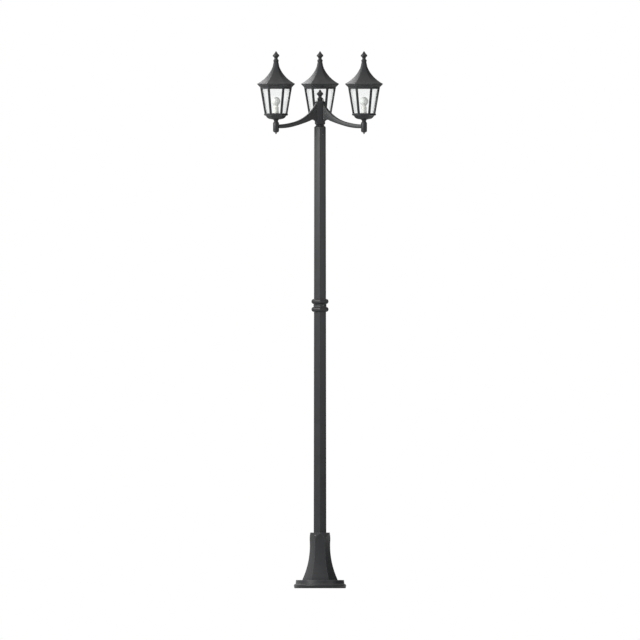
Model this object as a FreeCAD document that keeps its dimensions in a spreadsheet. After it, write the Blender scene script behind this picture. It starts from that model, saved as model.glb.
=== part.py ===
import FreeCAD, Part
import math
import os
import Sketcher

# A triple head lamp post: a hexagonal column on a round plinth, with three arms at 120 degrees that each carry
# a hexagonal lantern. Lengths are in millimetres, Z points up and the ground is at zero on the post's axis.

doc = FreeCAD.newDocument("TripleHeadLampPost")

sizes = {
    # ground plate, plinth and pedestal
    "plateGap": 10, "plateThickness": 12, "anchorInset": 35, "anchorHoleRadius": 9, "anchorCount": 4,
    "anchorStart": 45, "cableHoleRadius": 25,
    "plinthFootRadius": 162, "plinthBulge": 3, "plinthFootRise": 27, "plinthStepInset": 8,
    "plinthStepRise": 25, "plinthWall": 12, "plinthTopThickness": 7, "plinthLand": 34,
    "pedestalBottomFlat": 96, "pedestalFootRise": 3, "pedestalTopFlat": 56.3, "pedestalFlareRise": 250,
    "pedestalSweepRadius": 586, "pedestalWall": 7, "capitalRise": 44, "capitalPeakReach": 15.1,
    "capitalFlat": 61.8, "capitalLip": 5, "capitalFlareRadius": 100, "capitalCornerRadius": 180,
    "poleOpeningGap": 0.6, "pedestalScrewDrop": 13,
    # pole, its joint and the collar over it
    "poleBottomFlat": 40.2, "poleTopFlat": 36.5, "poleBore": 31, "lowerPoleLength": 1755, "upperPoleLength": 1137,
    "sleeveHalfLength": 150, "sleeveWall": 6, "sleeveClearance": 0.1, "lowerScrewDrop": 13, "upperScrewRise": 42,
    "collarRise": 82, "collarStart": 26, "collarClearance": 0.15, "collarBeadFlat": 54, "collarNeckFlat": 40.6,
    "collarBeadRise": 32,
    # head column
    "columnFlat": 28.6, "columnFlareRise": 14, "columnFlareFlat": 24, "columnFootFlat": 22,
    "columnChamferRise": 8, "columnRise": 146, "columnShoulderRise": 10, "columnShoulderFlat": 16,
    "columnSpigotLength": 90, "columnBore": 12, "columnCoreDepth": 10, "columnTopThickness": 30,
    # arms
    "armReach": 320, "armThickness": 24, "armEdgeRadius": 7, "armRootTop": 152, "armRootBottom": 27,
    "armTopKneeReach": 171, "armTopKneeRise": 39.4, "armTopInnerSweep": 260, "armTopOuterSweep": 520,
    "armTipRise": 18, "armHumpReach": 72.8, "armHumpRise": 41.9, "armHumpRadius": 28.3,
    "armLowKneeReach": 183.3, "armLowKneeRise": 7.9, "armLowInnerSweep": 996, "armLowOuterSweep": 420,
    "armTipDepth": 6, "stemRadius": 19, "stemTopRise": 30, "stemBottomDepth": 22, "stemBore": 8,
    "stemThreadLength": 22, "wireWayRadius": 4.5, "wireWayRise": 90, "wireWayFall": 84, "wireWaySweep": 420,
    "armCapRimRise": 3, "armCapRimSweep": 22, "armCapDomeDepth": 12, "armCapKnobRadius": 5, "armCapKnobDepth": 9,
    "armCapPlugRise": 8,
    # lantern: heights are stacked from the top of the stem
    "neckRadius": 13, "neckFootRadius": 16, "neckFootRise": 3, "neckRise": 18.6, "neckFootSweep": 8,
    "neckTopSweep": 12, "bowlSeatRadius": 20, "bowlFlat": 38, "bowlBottomRise": 4.5, "bowlWaistFlat": 54,
    "bowlLipRise": 6, "bowlLipBow": 14, "bowlRise": 26.4, "bowlInset": 1.9, "bowlWall": 10, "bowlFloor": 10,
    "bowlCove": 11, "bowlBow": 30,
    "ringLedge": 2.2, "ringRise": 12, "trayLedge": 8,
    "cageBottomFlat": 63.2, "cageTopFlat": 87.3, "cageRise": 164, "barThickness": 10, "barWidth": 16.4,
    "topBandRise": 10, "glassThickness": 3, "glassGap": 0.2, "glassOverlap": 5, "glassTopGap": 0.3,
    "corniceRise": 21, "corniceSpread": 14.7, "corniceSteps": 4, "corniceStepSlope": 0.8, "corniceLand": 9.3,
    "eaveOverhang": 1.7, "roofEdgeRise": 2.5, "roofSweepRadius": 198.6, "roofNeckFlat": 18.4,
    "roofSweepTop": 110, "roofTopFlat": 13.5, "roofRise": 139, "roofWall": 4, "roofHollowTop": 96,
    "roofShoulder": 16, "roofHollowNeck": 18, "skirtGap": 0.4, "skirtDepth": 10, "skirtWall": 4,
    # finials, shared by the roofs and the head column
    "finialFootRadius": 17, "finialFootStep": 2, "finialFootRise": 16, "finialFootBow": 9, "finialNeckRadius": 10.5,
    "finialNeckRise": 23, "finialNeckBow": 16, "finialBandRadius": 20.4, "finialBandBottom": 36,
    "finialBandTop": 45, "finialStepRadius": 12.5, "finialStepRise": 52, "finialTipRadius": 2, "finialRise": 69,
    "finialStudRadius": 4, "finialStudLength": 20, "finialStudRoom": 2,
    # lamp, its holder and what clamps them
    "trayGap": 2, "trayThickness": 2, "holderRadius": 18, "holderRise": 38.5, "holderBaseThickness": 9,
    "holderGroove": 1.2, "holderFootRise": 10, "holderRimRise": 4, "holderSlope": 2, "socketGap": 0.4,
    "nippleRadius": 5, "nippleWall": 1.5, "nippleEnd": 6.5, "nippleRoom": 0.5, "nippleDrop": 20,
    "threadFit": 0.05, "nutAcross": 17, "nutThickness": 6,
    "capRadius": 13.2, "capRise": 32, "capTaper": 3, "capTaperRise": 3, "tipRadius": 4, "tipRise": 2,
    "bulbGap": 0.3, "bulbRadius": 27.5, "bulbCentreRise": 65.7, "bulbNeckInset": 0.5, "bulbNeckRise": 3,
    "bulbShoulderAngle": 38, "bulbWall": 1.2,
    # small fasteners and the electrical parts in the plinth
    "screwRadius": 4, "screwGap": 0.1, "smallScrewRadius": 2.5, "screwSink": 1, "roofScrewSink": 5,
    "terminalBoxLength": 60, "terminalBoxWidth": 30, "terminalBoxRise": 24, "terminalBoxReach": 84,
    "terminalBoxWall": 2.5, "earthStudRadius": 4, "earthStudRise": 22, "earthStudReach": 92,
    "earthNutRadius": 7.5, "earthNutThickness": 6,
}

sheet = doc.addObject("Spreadsheet::Sheet", "Sizes")
for row, (alias, number) in enumerate(sizes.items(), start=1):
    sheet.set(f"A{row}", alias)
    sheet.set(f"B{row}", str(number))
    sheet.setAlias(f"B{row}", alias)
doc.recompute()


class Size:
    # A number together with the expression on the sheet that gives it.
    def __init__(self, number, text):
        self.number = number
        self.text = text

    def __add__(self, other):
        other = asSize(other)
        return Size(self.number + other.number, f"({self.text} + {other.text})")

    def __sub__(self, other):
        other = asSize(other)
        return Size(self.number - other.number, f"({self.text} - {other.text})")

    def __mul__(self, other):
        other = asSize(other)
        return Size(self.number * other.number, f"({self.text} * {other.text})")

    def __truediv__(self, other):
        other = asSize(other)
        return Size(self.number / other.number, f"({self.text} / {other.text})")

    def __neg__(self):
        return Size(-self.number, f"(0 - {self.text})")

    def __radd__(self, other):
        return asSize(other) + self

    def __rsub__(self, other):
        return asSize(other) - self

    def __rmul__(self, other):
        return asSize(other) * self


def asSize(value):
    return value if isinstance(value, Size) else Size(value, repr(value))


class Sheet:
    def __getattr__(self, alias):
        return Size(float(sizes[alias]), f"Sizes.{alias}")


s = Sheet()
hexagonSides = 6
flatToCorner = 1 / math.cos(math.pi / hexagonSides)
cutMargin = 5
subparts = []


def bind(thing, name, value):
    thing.setExpression(name, asSize(value).text)


def place(thing, at=(0, 0, 0), turn=0):
    upright = FreeCAD.Vector(0, 0, 1)
    thing.Placement = FreeCAD.Placement(FreeCAD.Vector(0, 0, 0), FreeCAD.Rotation(upright, turn))
    for axis, value in zip("xyz", at):
        bind(thing, f"Placement.Base.{axis}", value)


def newBody(label, at=(0, 0, 0), turn=0):
    body = doc.addObject("PartDesign::Body", label)
    body.Label = label
    place(body, at, turn)
    subparts.append(body)
    return body


def newSketch(body, name, plane, turn=0, height=None):
    sketch = body.newObject("Sketcher::SketchObject", name)
    origin = [part for part in body.Origin.OriginFeatures if part.Role == plane]
    sketch.AttachmentSupport = [(origin[0], "")]
    sketch.MapMode = "FlatFace"
    sketch.AttachmentOffset = FreeCAD.Placement(
        FreeCAD.Vector(0, 0, 0), FreeCAD.Rotation(FreeCAD.Vector(0, 1, 0), turn))
    if height is not None:
        bind(sketch, "AttachmentOffset.Base.z", height)
    return sketch


def holdPoint(sketch, edge, point, across, up):
    # Ties a vertex to its two distances from the sketch's origin.
    for kind, axis, value in (("DistanceX", -2, across), ("DistanceY", -1, up)):
        if isinstance(value, Size):
            index = sketch.addConstraint(Sketcher.Constraint(kind, -1, 1, edge, point, value.number))
            bind(sketch, f"Constraints[{index}]", value)
        else:
            sketch.addConstraint(Sketcher.Constraint("PointOnObject", edge, point, axis))


def drawOutline(sketch, corners):
    # A closed outline. A corner is (across, up) or (across, up, radius): the radius of the arc that leads to the
    # next corner, positive where its centre lies to the left of the way there.
    ends = []
    for here, there in zip(corners, corners[1:] + corners[:1]):
        start = FreeCAD.Vector(asSize(here[0]).number, asSize(here[1]).number, 0)
        end = FreeCAD.Vector(asSize(there[0]).number, asSize(there[1]).number, 0)
        if len(here) == 2:
            edge = sketch.addGeometry(Part.LineSegment(start, end))
            ends.append((edge, 1, 2))
            continue
        radius = asSize(here[2])
        chord = end - start
        left = FreeCAD.Vector(-chord.y, chord.x, 0).normalize()
        rise = math.sqrt(radius.number ** 2 - (chord.Length / 2) ** 2)
        centre = (start + end) / 2 + left * math.copysign(rise, radius.number)
        first, last = (start, end) if radius.number > 0 else (end, start)
        angles = [math.atan2(point.y - centre.y, point.x - centre.x) for point in (first, last)]
        circle = Part.Circle(centre, FreeCAD.Vector(0, 0, 1), abs(radius.number))
        edge = sketch.addGeometry(Part.ArcOfCircle(circle, angles[0], angles[1]))
        ends.append((edge, 1, 2) if radius.number > 0 else (edge, 2, 1))
        index = sketch.addConstraint(Sketcher.Constraint("Radius", edge, abs(radius.number)))
        bind(sketch, f"Constraints[{index}]", radius if radius.number > 0 else -radius)
    for corner, (edge, first, last), (follower, start, _) in zip(corners, ends, ends[1:] + ends[:1]):
        holdPoint(sketch, edge, first, corner[0], corner[1])
        sketch.addConstraint(Sketcher.Constraint("Coincident", edge, last, follower, start))


def drawCircle(sketch, radius, across=0, up=0):
    centre = FreeCAD.Vector(asSize(across).number, asSize(up).number, 0)
    edge = sketch.addGeometry(Part.Circle(centre, FreeCAD.Vector(0, 0, 1), radius.number))
    index = sketch.addConstraint(Sketcher.Constraint("Radius", edge, radius.number))
    bind(sketch, f"Constraints[{index}]", radius)
    holdPoint(sketch, edge, 3, across, up)


def feature(body, kind, sketch, reversed_=False, symmetric=False, length=None):
    made = body.newObject(f"PartDesign::{kind}", f"{sketch.Name}{kind}")
    made.Profile = sketch
    made.Reversed = reversed_
    if kind in ("Revolution", "Groove"):
        made.ReferenceAxis = (sketch, ["V_Axis"])
        made.Angle = 360
    else:
        made.SideType = "Symmetric" if symmetric else "One side"
        bind(made, "Length", length)
    sketch.Visibility = False
    return made


def turn(body, name, corners, kind="Revolution"):
    # A round form, or a round hollow, about the body's Z axis.
    sketch = newSketch(body, name, "XZ_Plane")
    drawOutline(sketch, corners)
    return feature(body, kind, sketch)


def around(body, made, count, name):
    pattern = body.newObject("PartDesign::PolarPattern", name)
    pattern.Originals = [made]
    axis = [part for part in body.Origin.OriginFeatures if part.Role == "Z_Axis"]
    pattern.Axis = (axis[0], [""])
    pattern.Angle = 360
    pattern.Occurrences = count
    body.Tip = pattern
    return pattern


def cutSides(body, name, corners, beyond, start=0, below=cutMargin, above=cutMargin):
    # Six equal sides: all that lies outside the side's profile, given from its foot to its top, is cut away.
    sketch = newSketch(body, name, "XZ_Plane", start)
    low = corners[0][1] - below
    high = corners[-1][1] + above
    outline = corners + ([(corners[-1][0], high)] if above else [])
    outline += [(beyond, high), (beyond, low)] + ([(corners[0][0], low)] if below else [])
    drawOutline(sketch, outline)
    made = feature(body, "Pocket", sketch, symmetric=True, length=beyond * 2)
    around(body, made, hexagonSides, f"{name}Around")


def blank(body, name, radius, low, high):
    # The round blank that the sides are cut from.
    sketch = newSketch(body, name, "XY_Plane", height=low)
    drawCircle(sketch, radius)
    feature(body, "Pad", sketch, length=high - low)


def bore(body, name, radius, low, high):
    turn(body, name, [(0, low), (radius, low), (radius, high), (0, high)], "Groove")


def crossHoles(body, name, radius, height, length, count, start=0):
    # Holes out through the wall, square to the axis.
    sketch = newSketch(body, name, "YZ_Plane", start)
    drawCircle(sketch, radius, 0, height)
    made = feature(body, "Pocket", sketch, reversed_=True, length=length)
    if count > 1:
        around(body, made, count, f"{name}Around")
    return made


def rods(label, radius, spots):
    # One group of equal screws. A spot is (azimuth, inner end, length, height, centre across, centre along).
    pieces = []
    for number, (azimuth, inner, length, height, across, along) in enumerate(spots, start=1):
        rod = doc.addObject("Part::Cylinder", f"{label}_{number}")
        bind(rod, "Radius", radius)
        bind(rod, "Height", length)
        flat = FreeCAD.Rotation(FreeCAD.Vector(0, 0, 1), azimuth)
        rod.Placement = FreeCAD.Placement(
            FreeCAD.Vector(0, 0, 0), flat.multiply(FreeCAD.Rotation(FreeCAD.Vector(0, 1, 0), 90)))
        angle = math.radians(azimuth)
        bind(rod, "Placement.Base.x", across + inner * math.cos(angle))
        bind(rod, "Placement.Base.y", along + inner * math.sin(angle))
        bind(rod, "Placement.Base.z", height)
        pieces.append(rod)
    return group(label, pieces)


def sideScrews(label, radius, sides, inner, outer, levels):
    rods(label, radius, [(side, inner, outer - inner, level, asSize(0), asSize(0))
                         for level in levels for side in sides])


def group(label, pieces):
    made = doc.addObject("Part::Compound", label)
    made.Label = label
    made.Links = pieces
    subparts.append(made)
    return made


def bow(chord, depth):
    # The radius of the arc that stands this far off its chord.
    return (chord * chord / 4 + depth * depth) / (depth * 2)


# Levels up the post, and the places of the three lanterns.
lowerPoleTop = s.plateThickness + s.lowerPoleLength
poleTop = lowerPoleTop + s.upperPoleLength
plinthTop = s.plinthFootRise + s.plinthStepRise
flareTop = plinthTop + s.pedestalFlareRise
capitalShoulder = flareTop + s.capitalRise
capitalTop = capitalShoulder + s.capitalLip
pedestalScrewLevel = capitalShoulder - s.pedestalScrewDrop
poleTaper = (s.poleBottomFlat - s.poleTopFlat) / (s.lowerPoleLength + s.upperPoleLength)
plateRadius = s.plinthFootRadius - s.plinthWall - s.plateGap
stemTop = poleTop + s.stemTopRise
columnTop = s.columnFlareRise + s.columnRise
lowerScrewLevel = lowerPoleTop - s.lowerScrewDrop
upperScrewLevel = lowerPoleTop + s.upperScrewRise
columnScrewLevel = poleTop - s.columnSpigotLength / 2
spigotRadius = s.poleBore - s.sleeveClearance
spigotBore = s.poleBore - s.sleeveWall
arms = {"rear": 90, "left": 210, "right": 330}
flatFront = 180 / hexagonSides
flatSides = (60, 180, 300)
pedestalScrewSides = (0, 120, 240)


def poleFlatAt(height):
    return s.poleBottomFlat - poleTaper * (height - s.plateThickness)


def lanternSpot(azimuth):
    angle = math.radians(azimuth)
    return s.armReach * round(math.cos(angle), 9), s.armReach * round(math.sin(angle), 9), stemTop


# Ground plate, plinth and pedestal

def basePlate():
    body = newBody("base_plate")
    blank(body, "plateDisc", plateRadius, asSize(0), s.plateThickness)
    bore(body, "cableHole", s.cableHoleRadius, -asSize(cutMargin), s.plateThickness + cutMargin)
    sketch = newSketch(body, "anchorHole", "XY_Plane")
    angle = math.radians(sizes["anchorStart"])
    reach = plateRadius - s.anchorInset
    drawCircle(sketch, s.anchorHoleRadius, reach * math.cos(angle), reach * math.sin(angle))
    made = feature(body, "Pocket", sketch, reversed_=True, length=s.plateThickness)
    around(body, made, sizes["anchorCount"], "anchorHoles")


def plinth():
    body = newBody("plinth")
    foot = s.plinthFootRadius
    step = foot - s.plinthStepInset
    inner = foot - s.plinthWall
    rim = step - s.plinthWall
    opening = s.pedestalBottomFlat - s.plinthLand
    ceiling = plinthTop - s.plinthTopThickness
    shelf = s.plinthFootRise / 2
    shoulder = s.plinthBulge + s.plinthStepInset
    turn(body, "plinthForm", [
        (inner, 0), (foot, 0), (foot + s.plinthBulge, s.plinthFootRise - shoulder, shoulder),
        (step, s.plinthFootRise), (step - s.plinthBulge, plinthTop), (opening, plinthTop), (opening, ceiling),
        (rim, ceiling), (rim, shelf), (inner, shelf / 2)])


def pedestal():
    body = newBody("pedestal", turn=flatFront)
    widest = s.pedestalBottomFlat * flatToCorner + 1
    blank(body, "pedestalBlank", widest, plinthTop, capitalTop)
    peak = s.pedestalTopFlat + s.capitalPeakReach
    cutSides(body, "pedestalFace", [
        (s.pedestalBottomFlat, plinthTop),
        (s.pedestalBottomFlat, plinthTop + s.pedestalFootRise, -s.pedestalSweepRadius),
        (s.pedestalTopFlat, flareTop, -s.capitalFlareRadius), (peak, capitalShoulder), (peak, capitalTop)],
        widest + cutMargin)
    cutCorners(body, s.pedestalTopFlat * flatToCorner, widest + cutMargin)
    wall = s.pedestalWall
    turn(body, "pedestalHollow", [
        (0, plinthTop), (s.pedestalBottomFlat - wall, plinthTop, -(s.pedestalSweepRadius + wall)),
        (s.pedestalTopFlat - wall, flareTop - wall), (0, flareTop - wall)], "Groove")
    opening = newSketch(body, "poleOpening", "XY_Plane", height=flareTop - wall - cutMargin)
    drawHexagon(opening, (poleFlatAt(flareTop) + s.poleOpeningGap) * flatToCorner, 0)
    feature(body, "Pocket", opening, reversed_=True, length=capitalTop - flareTop + wall + cutMargin * 2)
    crossHoles(body, "pedestalScrewHole", s.screwRadius + s.threadFit, pedestalScrewLevel, widest,
               len(pedestalScrewSides), pedestalScrewSides[0] - flatFront)


def cutCorners(body, corner, outer):
    # The capital's corner facets, which leave each face ending in a pointed arch.
    sketch = newSketch(body, "capitalCorner", "XZ_Plane", flatFront)
    high = capitalTop + cutMargin
    drawOutline(sketch, [
        (corner, flareTop, s.capitalCornerRadius), (s.capitalFlat, capitalShoulder), (s.capitalFlat, high),
        (outer, high), (outer, flareTop)])
    made = feature(body, "Pocket", sketch, symmetric=True, length=outer * 2)
    around(body, made, hexagonSides, "capitalCorners")


def pedestalScrews():
    sideScrews("pedestal_screws", s.screwRadius, pedestalScrewSides, poleFlatAt(pedestalScrewLevel) + s.screwGap,
               s.capitalFlat, [pedestalScrewLevel])


def terminalBox():
    box = doc.addObject("Part::Box", "terminal_box_shell")
    bind(box, "Length", s.terminalBoxWidth)
    bind(box, "Width", s.terminalBoxLength)
    bind(box, "Height", s.terminalBoxRise)
    hollow = doc.addObject("Part::Box", "terminal_box_hollow")
    wall = s.terminalBoxWall
    bind(hollow, "Length", s.terminalBoxWidth - wall * 2)
    bind(hollow, "Width", s.terminalBoxLength - wall * 2)
    bind(hollow, "Height", s.terminalBoxRise)
    place(hollow, (wall, wall, wall))
    made = doc.addObject("Part::Cut", "terminal_box")
    made.Label = "terminal_box"
    made.Base = box
    made.Tool = hollow
    place(made, (-s.terminalBoxReach - s.terminalBoxWidth / 2, -s.terminalBoxLength / 2, s.plateThickness))
    subparts.append(made)
    lid = doc.addObject("Part::Box", "terminal_box_lid")
    lid.Label = "terminal_box_lid"
    bind(lid, "Length", s.terminalBoxWidth)
    bind(lid, "Width", s.terminalBoxLength)
    bind(lid, "Height", wall)
    place(lid, (-s.terminalBoxReach - s.terminalBoxWidth / 2, -s.terminalBoxLength / 2,
                s.plateThickness + s.terminalBoxRise))
    subparts.append(lid)


def earthStud():
    body = newBody("earth_stud", (s.earthStudReach, 0, s.plateThickness))
    turn(body, "earthStudForm", [
        (0, 0), (s.earthNutRadius, 0), (s.earthNutRadius, s.earthNutThickness),
        (s.earthStudRadius, s.earthNutThickness), (s.earthStudRadius, s.earthStudRise), (0, s.earthStudRise)])


# Pole, its joint and its collar

def poleSection(label, low, high, screwLevels):
    body = newBody(label)
    bottom = poleFlatAt(low)
    top = poleFlatAt(high)
    widest = bottom * flatToCorner + 1
    blank(body, f"{label}Blank", widest, low, high)
    cutSides(body, f"{label}Face", [(bottom, low), (top, high)], widest + cutMargin)
    bore(body, f"{label}Bore", s.poleBore, low - cutMargin, high + cutMargin)
    for number, level in enumerate(screwLevels, start=1):
        screwHoles(body, f"{label}ScrewHole{number}", level, widest, flatSides[0])


def screwHoles(body, name, level, length, start):
    crossHoles(body, name, s.smallScrewRadius + s.threadFit, level, length, 3, start)


def poles():
    poleSection("pole_lower", s.plateThickness, lowerPoleTop, [lowerScrewLevel])
    poleSection("pole_upper", lowerPoleTop, poleTop, [upperScrewLevel, columnScrewLevel])


def jointSleeve():
    body = newBody("pole_joint_sleeve")
    low = lowerPoleTop - s.sleeveHalfLength
    high = lowerPoleTop + s.sleeveHalfLength
    turn(body, "sleeveForm", [(spigotBore, low), (spigotRadius, low), (spigotRadius, high), (spigotBore, high)])
    for number, level in enumerate((lowerScrewLevel, upperScrewLevel), start=1):
        screwHoles(body, f"sleeveHole{number}", level, s.poleBore * 2, flatSides[0])


def jointScrews():
    outer = poleFlatAt(upperScrewLevel) - s.screwSink
    sideScrews("pole_joint_screws", s.smallScrewRadius, flatSides, spigotBore, outer,
               [lowerScrewLevel, upperScrewLevel])


def midCollar():
    body = newBody("mid_collar")
    low = lowerPoleTop - s.collarStart
    high = low + s.collarRise
    widest = s.collarBeadFlat * flatToCorner + 1
    flat = s.collarNeckFlat
    blank(body, "collarBlank", widest, low, high)
    bead = bow(s.collarBeadRise, s.collarBeadFlat - flat)
    cutSides(body, "collarFace", [
        (flat, low, bead), (flat, low + s.collarBeadRise), (flat, high - s.collarBeadRise, bead), (flat, high)],
        widest + cutMargin)
    sketch = newSketch(body, "collarOpening", "XY_Plane", height=low)
    drawHexagon(sketch, (poleFlatAt(low) + s.collarClearance) * flatToCorner, flatFront)
    feature(body, "Pocket", sketch, reversed_=True, length=s.collarRise)
    screwHoles(body, "collarScrewHole", low + s.collarRise / 2, widest, flatSides[0])


def drawHexagon(sketch, corner, start):
    # A regular hexagon about the sketch's origin, with one corner at the start angle.
    circle = sketch.addGeometry(Part.Circle(FreeCAD.Vector(0, 0, 0), FreeCAD.Vector(0, 0, 1), corner.number), True)
    index = sketch.addConstraint(Sketcher.Constraint("Radius", circle, corner.number))
    bind(sketch, f"Constraints[{index}]", corner)
    sketch.addConstraint(Sketcher.Constraint("Coincident", circle, 3, -1, 1))
    angles = [math.radians(start + 360 / hexagonSides * side) for side in range(hexagonSides)]
    points = [FreeCAD.Vector(math.cos(angle), math.sin(angle), 0) * corner.number for angle in angles]
    sides = [sketch.addGeometry(Part.LineSegment(here, there))
             for here, there in zip(points, points[1:] + points[:1])]
    for here, there in zip(sides, sides[1:] + sides[:1]):
        sketch.addConstraint(Sketcher.Constraint("Coincident", here, 2, there, 1))
        sketch.addConstraint(Sketcher.Constraint("PointOnObject", here, 1, circle))
    for there in sides[1:]:
        sketch.addConstraint(Sketcher.Constraint("Equal", sides[0], there))
    kind = "Vertical" if abs(points[0].x - points[-1].x) < 1 else "Horizontal"
    upright = sides[-1] if kind == "Vertical" else sides[1]
    sketch.addConstraint(Sketcher.Constraint(kind, upright))


def collarScrews():
    level = lowerPoleTop - s.collarStart + s.collarRise / 2
    sideScrews("collar_screws", s.smallScrewRadius, flatSides, poleFlatAt(level) + s.screwGap,
               s.collarNeckFlat + s.screwSink, [level])


# Head column, finials and arms

def headColumn():
    body = newBody("head_column", (0, 0, poleTop), flatFront)
    studTop = columnTop + s.columnShoulderRise
    widest = s.poleTopFlat * flatToCorner + 1
    blank(body, "columnBlank", widest, asSize(0), studTop)
    cutSides(body, "flareFace", [(s.poleTopFlat, asSize(0)), (s.columnFlareFlat, s.columnFlareRise)],
             widest + cutMargin, flatFront, above=0)
    cutSides(body, "columnFace", [
        (s.columnFootFlat, s.columnFlareRise), (s.columnFlat, s.columnFlareRise + s.columnChamferRise),
        (s.columnFlat, columnTop), (s.columnShoulderFlat, studTop)], widest + cutMargin, below=0)
    spigot = newSketch(body, "spigot", "XY_Plane", height=-s.columnSpigotLength)
    drawCircle(spigot, spigotRadius)
    feature(body, "Pad", spigot, length=s.columnSpigotLength)
    ceiling = columnTop - s.columnTopThickness
    foot = -s.columnSpigotLength - 1
    turn(body, "columnCore", [
        (0, foot), (spigotBore, foot), (spigotBore, -s.columnCoreDepth), (s.columnBore, s.columnFlareRise),
        (s.columnBore, ceiling), (0, ceiling)], "Groove")
    bore(body, "columnStudHole", s.finialStudRadius + s.threadFit,
         studTop - s.finialStudLength - s.finialStudRoom, studTop + cutMargin)
    crossHoles(body, "columnWireHole", s.wireWayRadius, s.wireWayRise, widest, 3, arms["rear"] - flatFront)
    screwHoles(body, "columnScrewHole", -s.columnSpigotLength / 2, widest, flatSides[0] - flatFront)


def columnScrews():
    sideScrews("column_screws", s.smallScrewRadius, flatSides, spigotBore,
               poleFlatAt(columnScrewLevel) - s.screwSink, [columnScrewLevel])


def finial(label, at):
    body = newBody(label, at)
    foot = s.finialFootRadius
    turn(body, f"{label}Form", [
        (0, -s.finialStudLength), (s.finialStudRadius, -s.finialStudLength), (s.finialStudRadius, 0),
        (foot - s.finialFootStep, 0), (foot, s.finialFootRise * 0.4), (foot, s.finialFootRise * 0.75),
        (foot - s.finialFootStep * 1.5, s.finialFootRise, -s.finialFootBow),
        (s.finialNeckRadius, s.finialNeckRise, -s.finialNeckBow), (s.finialBandRadius, s.finialBandBottom),
        (s.finialBandRadius, s.finialBandTop), (s.finialStepRadius, s.finialStepRise),
        (s.finialTipRadius, s.finialRise - 1), (0, s.finialRise)])


def arm(side, azimuth):
    name = f"arm_{side}"
    body = newBody(name, (0, 0, poleTop), azimuth)
    sketch = newSketch(body, f"{name}Outline", "XZ_Plane")
    tip = s.armReach - s.stemRadius
    drawOutline(sketch, [
        (s.columnFlat, s.armRootBottom, -s.armHumpRadius), (s.armHumpReach, s.armHumpRise, s.armLowInnerSweep),
        (s.armLowKneeReach, s.armLowKneeRise, s.armLowOuterSweep), (tip, -s.armTipDepth),
        (s.armReach, -s.armTipDepth), (s.armReach, s.armTipRise), (tip, s.armTipRise, -s.armTopOuterSweep),
        (s.armTopKneeReach, s.armTopKneeRise, -s.armTopInnerSweep), (s.columnFlat, s.armRootTop)])
    blade = feature(body, "Pad", sketch, symmetric=True, length=s.armThickness)
    softenEdges(body, name, blade)
    stem = newSketch(body, f"{name}Stem", "XY_Plane", height=-s.stemBottomDepth)
    drawCircle(stem, s.stemRadius, s.armReach, 0)
    stemLength = s.stemTopRise + s.stemBottomDepth
    feature(body, "Pad", stem, length=stemLength)
    wireWay(body, name)
    wide = newSketch(body, f"{name}StemBore", "XY_Plane", height=-s.stemBottomDepth)
    drawCircle(wide, s.stemBore, s.armReach, 0)
    feature(body, "Pocket", wide, reversed_=True, length=stemLength - s.stemThreadLength)
    thread = newSketch(body, f"{name}StemThread", "XY_Plane", height=s.stemTopRise)
    drawCircle(thread, s.nippleRadius + s.threadFit, s.armReach, 0)
    feature(body, "Pocket", thread, length=s.stemThreadLength)


def softenEdges(body, name, blade):
    # Rounds the long edges of both cheeks, and leaves the root square against the column.
    doc.recompute()
    edges = []
    for number, edge in enumerate(blade.Shape.Edges, start=1):
        spots = [vertex.Point for vertex in edge.Vertexes]
        along = abs(spots[0].y - spots[1].y) < s.armEdgeRadius.number
        root = max(spot.x for spot in spots) < s.columnFlat.number + 1
        if along and not root:
            edges.append(f"Edge{number}")
    soft = body.newObject("PartDesign::Fillet", f"{name}Fillet")
    soft.Base = (blade, edges)
    bind(soft, "Radius", s.armEdgeRadius)


def wireWay(body, name):
    # The cored way for the lamp's wires, on one arc from the column to the stem.
    path = newSketch(body, f"{name}WirePath", "XZ_Plane")
    start = FreeCAD.Vector(s.columnFlat.number - 1, s.wireWayRise.number, 0)
    end = FreeCAD.Vector(s.armReach.number, (s.wireWayRise - s.wireWayFall).number, 0)
    radius = s.wireWaySweep.number
    chord = end - start
    up = FreeCAD.Vector(-chord.y, chord.x, 0).normalize()
    centre = (start + end) / 2 + up * math.sqrt(radius ** 2 - (chord.Length / 2) ** 2)
    angles = [math.atan2(point.y - centre.y, point.x - centre.x) for point in (start, end)]
    arc = Part.ArcOfCircle(Part.Circle(centre, FreeCAD.Vector(0, 0, 1), radius), angles[0], angles[1])
    edge = path.addGeometry(arc)
    holdPoint(path, edge, 1, s.columnFlat - 1, s.wireWayRise)
    holdPoint(path, edge, 2, s.armReach, s.wireWayRise - s.wireWayFall)
    index = path.addConstraint(Sketcher.Constraint("Radius", edge, radius))
    bind(path, f"Constraints[{index}]", s.wireWaySweep)
    path.Visibility = False
    ring = body.newObject("Sketcher::SketchObject", f"{name}WireSection")
    ring.AttachmentSupport = [(path, "Edge1")]
    ring.MapMode = "NormalToEdge"
    drawCircle(ring, s.wireWayRadius)
    way = body.newObject("PartDesign::SubtractivePipe", f"{name}WireWay")
    way.Profile = ring
    way.Spine = (path, ["Edge1"])
    ring.Visibility = False


def endCap(side, azimuth):
    across, along, _ = lanternSpot(azimuth)
    name = f"arm_cap_{side}"
    body = newBody(name, (across, along, poleTop - s.stemBottomDepth))
    plug = s.stemBore - s.threadFit
    knob = s.armCapKnobRadius
    dome = -s.armCapDomeDepth
    turn(body, f"{name}Form", [
        (0, dome - s.armCapKnobDepth, knob * 1.2), (knob, dome - s.armCapKnobDepth / 2),
        (knob - 1, dome, s.armCapRimSweep),
        (s.stemRadius, -s.armCapRimRise), (s.stemRadius, 0), (plug, 0), (plug, s.armCapPlugRise),
        (0, s.armCapPlugRise)])


# Lanterns: heights stack up from the top of the stem

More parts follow.
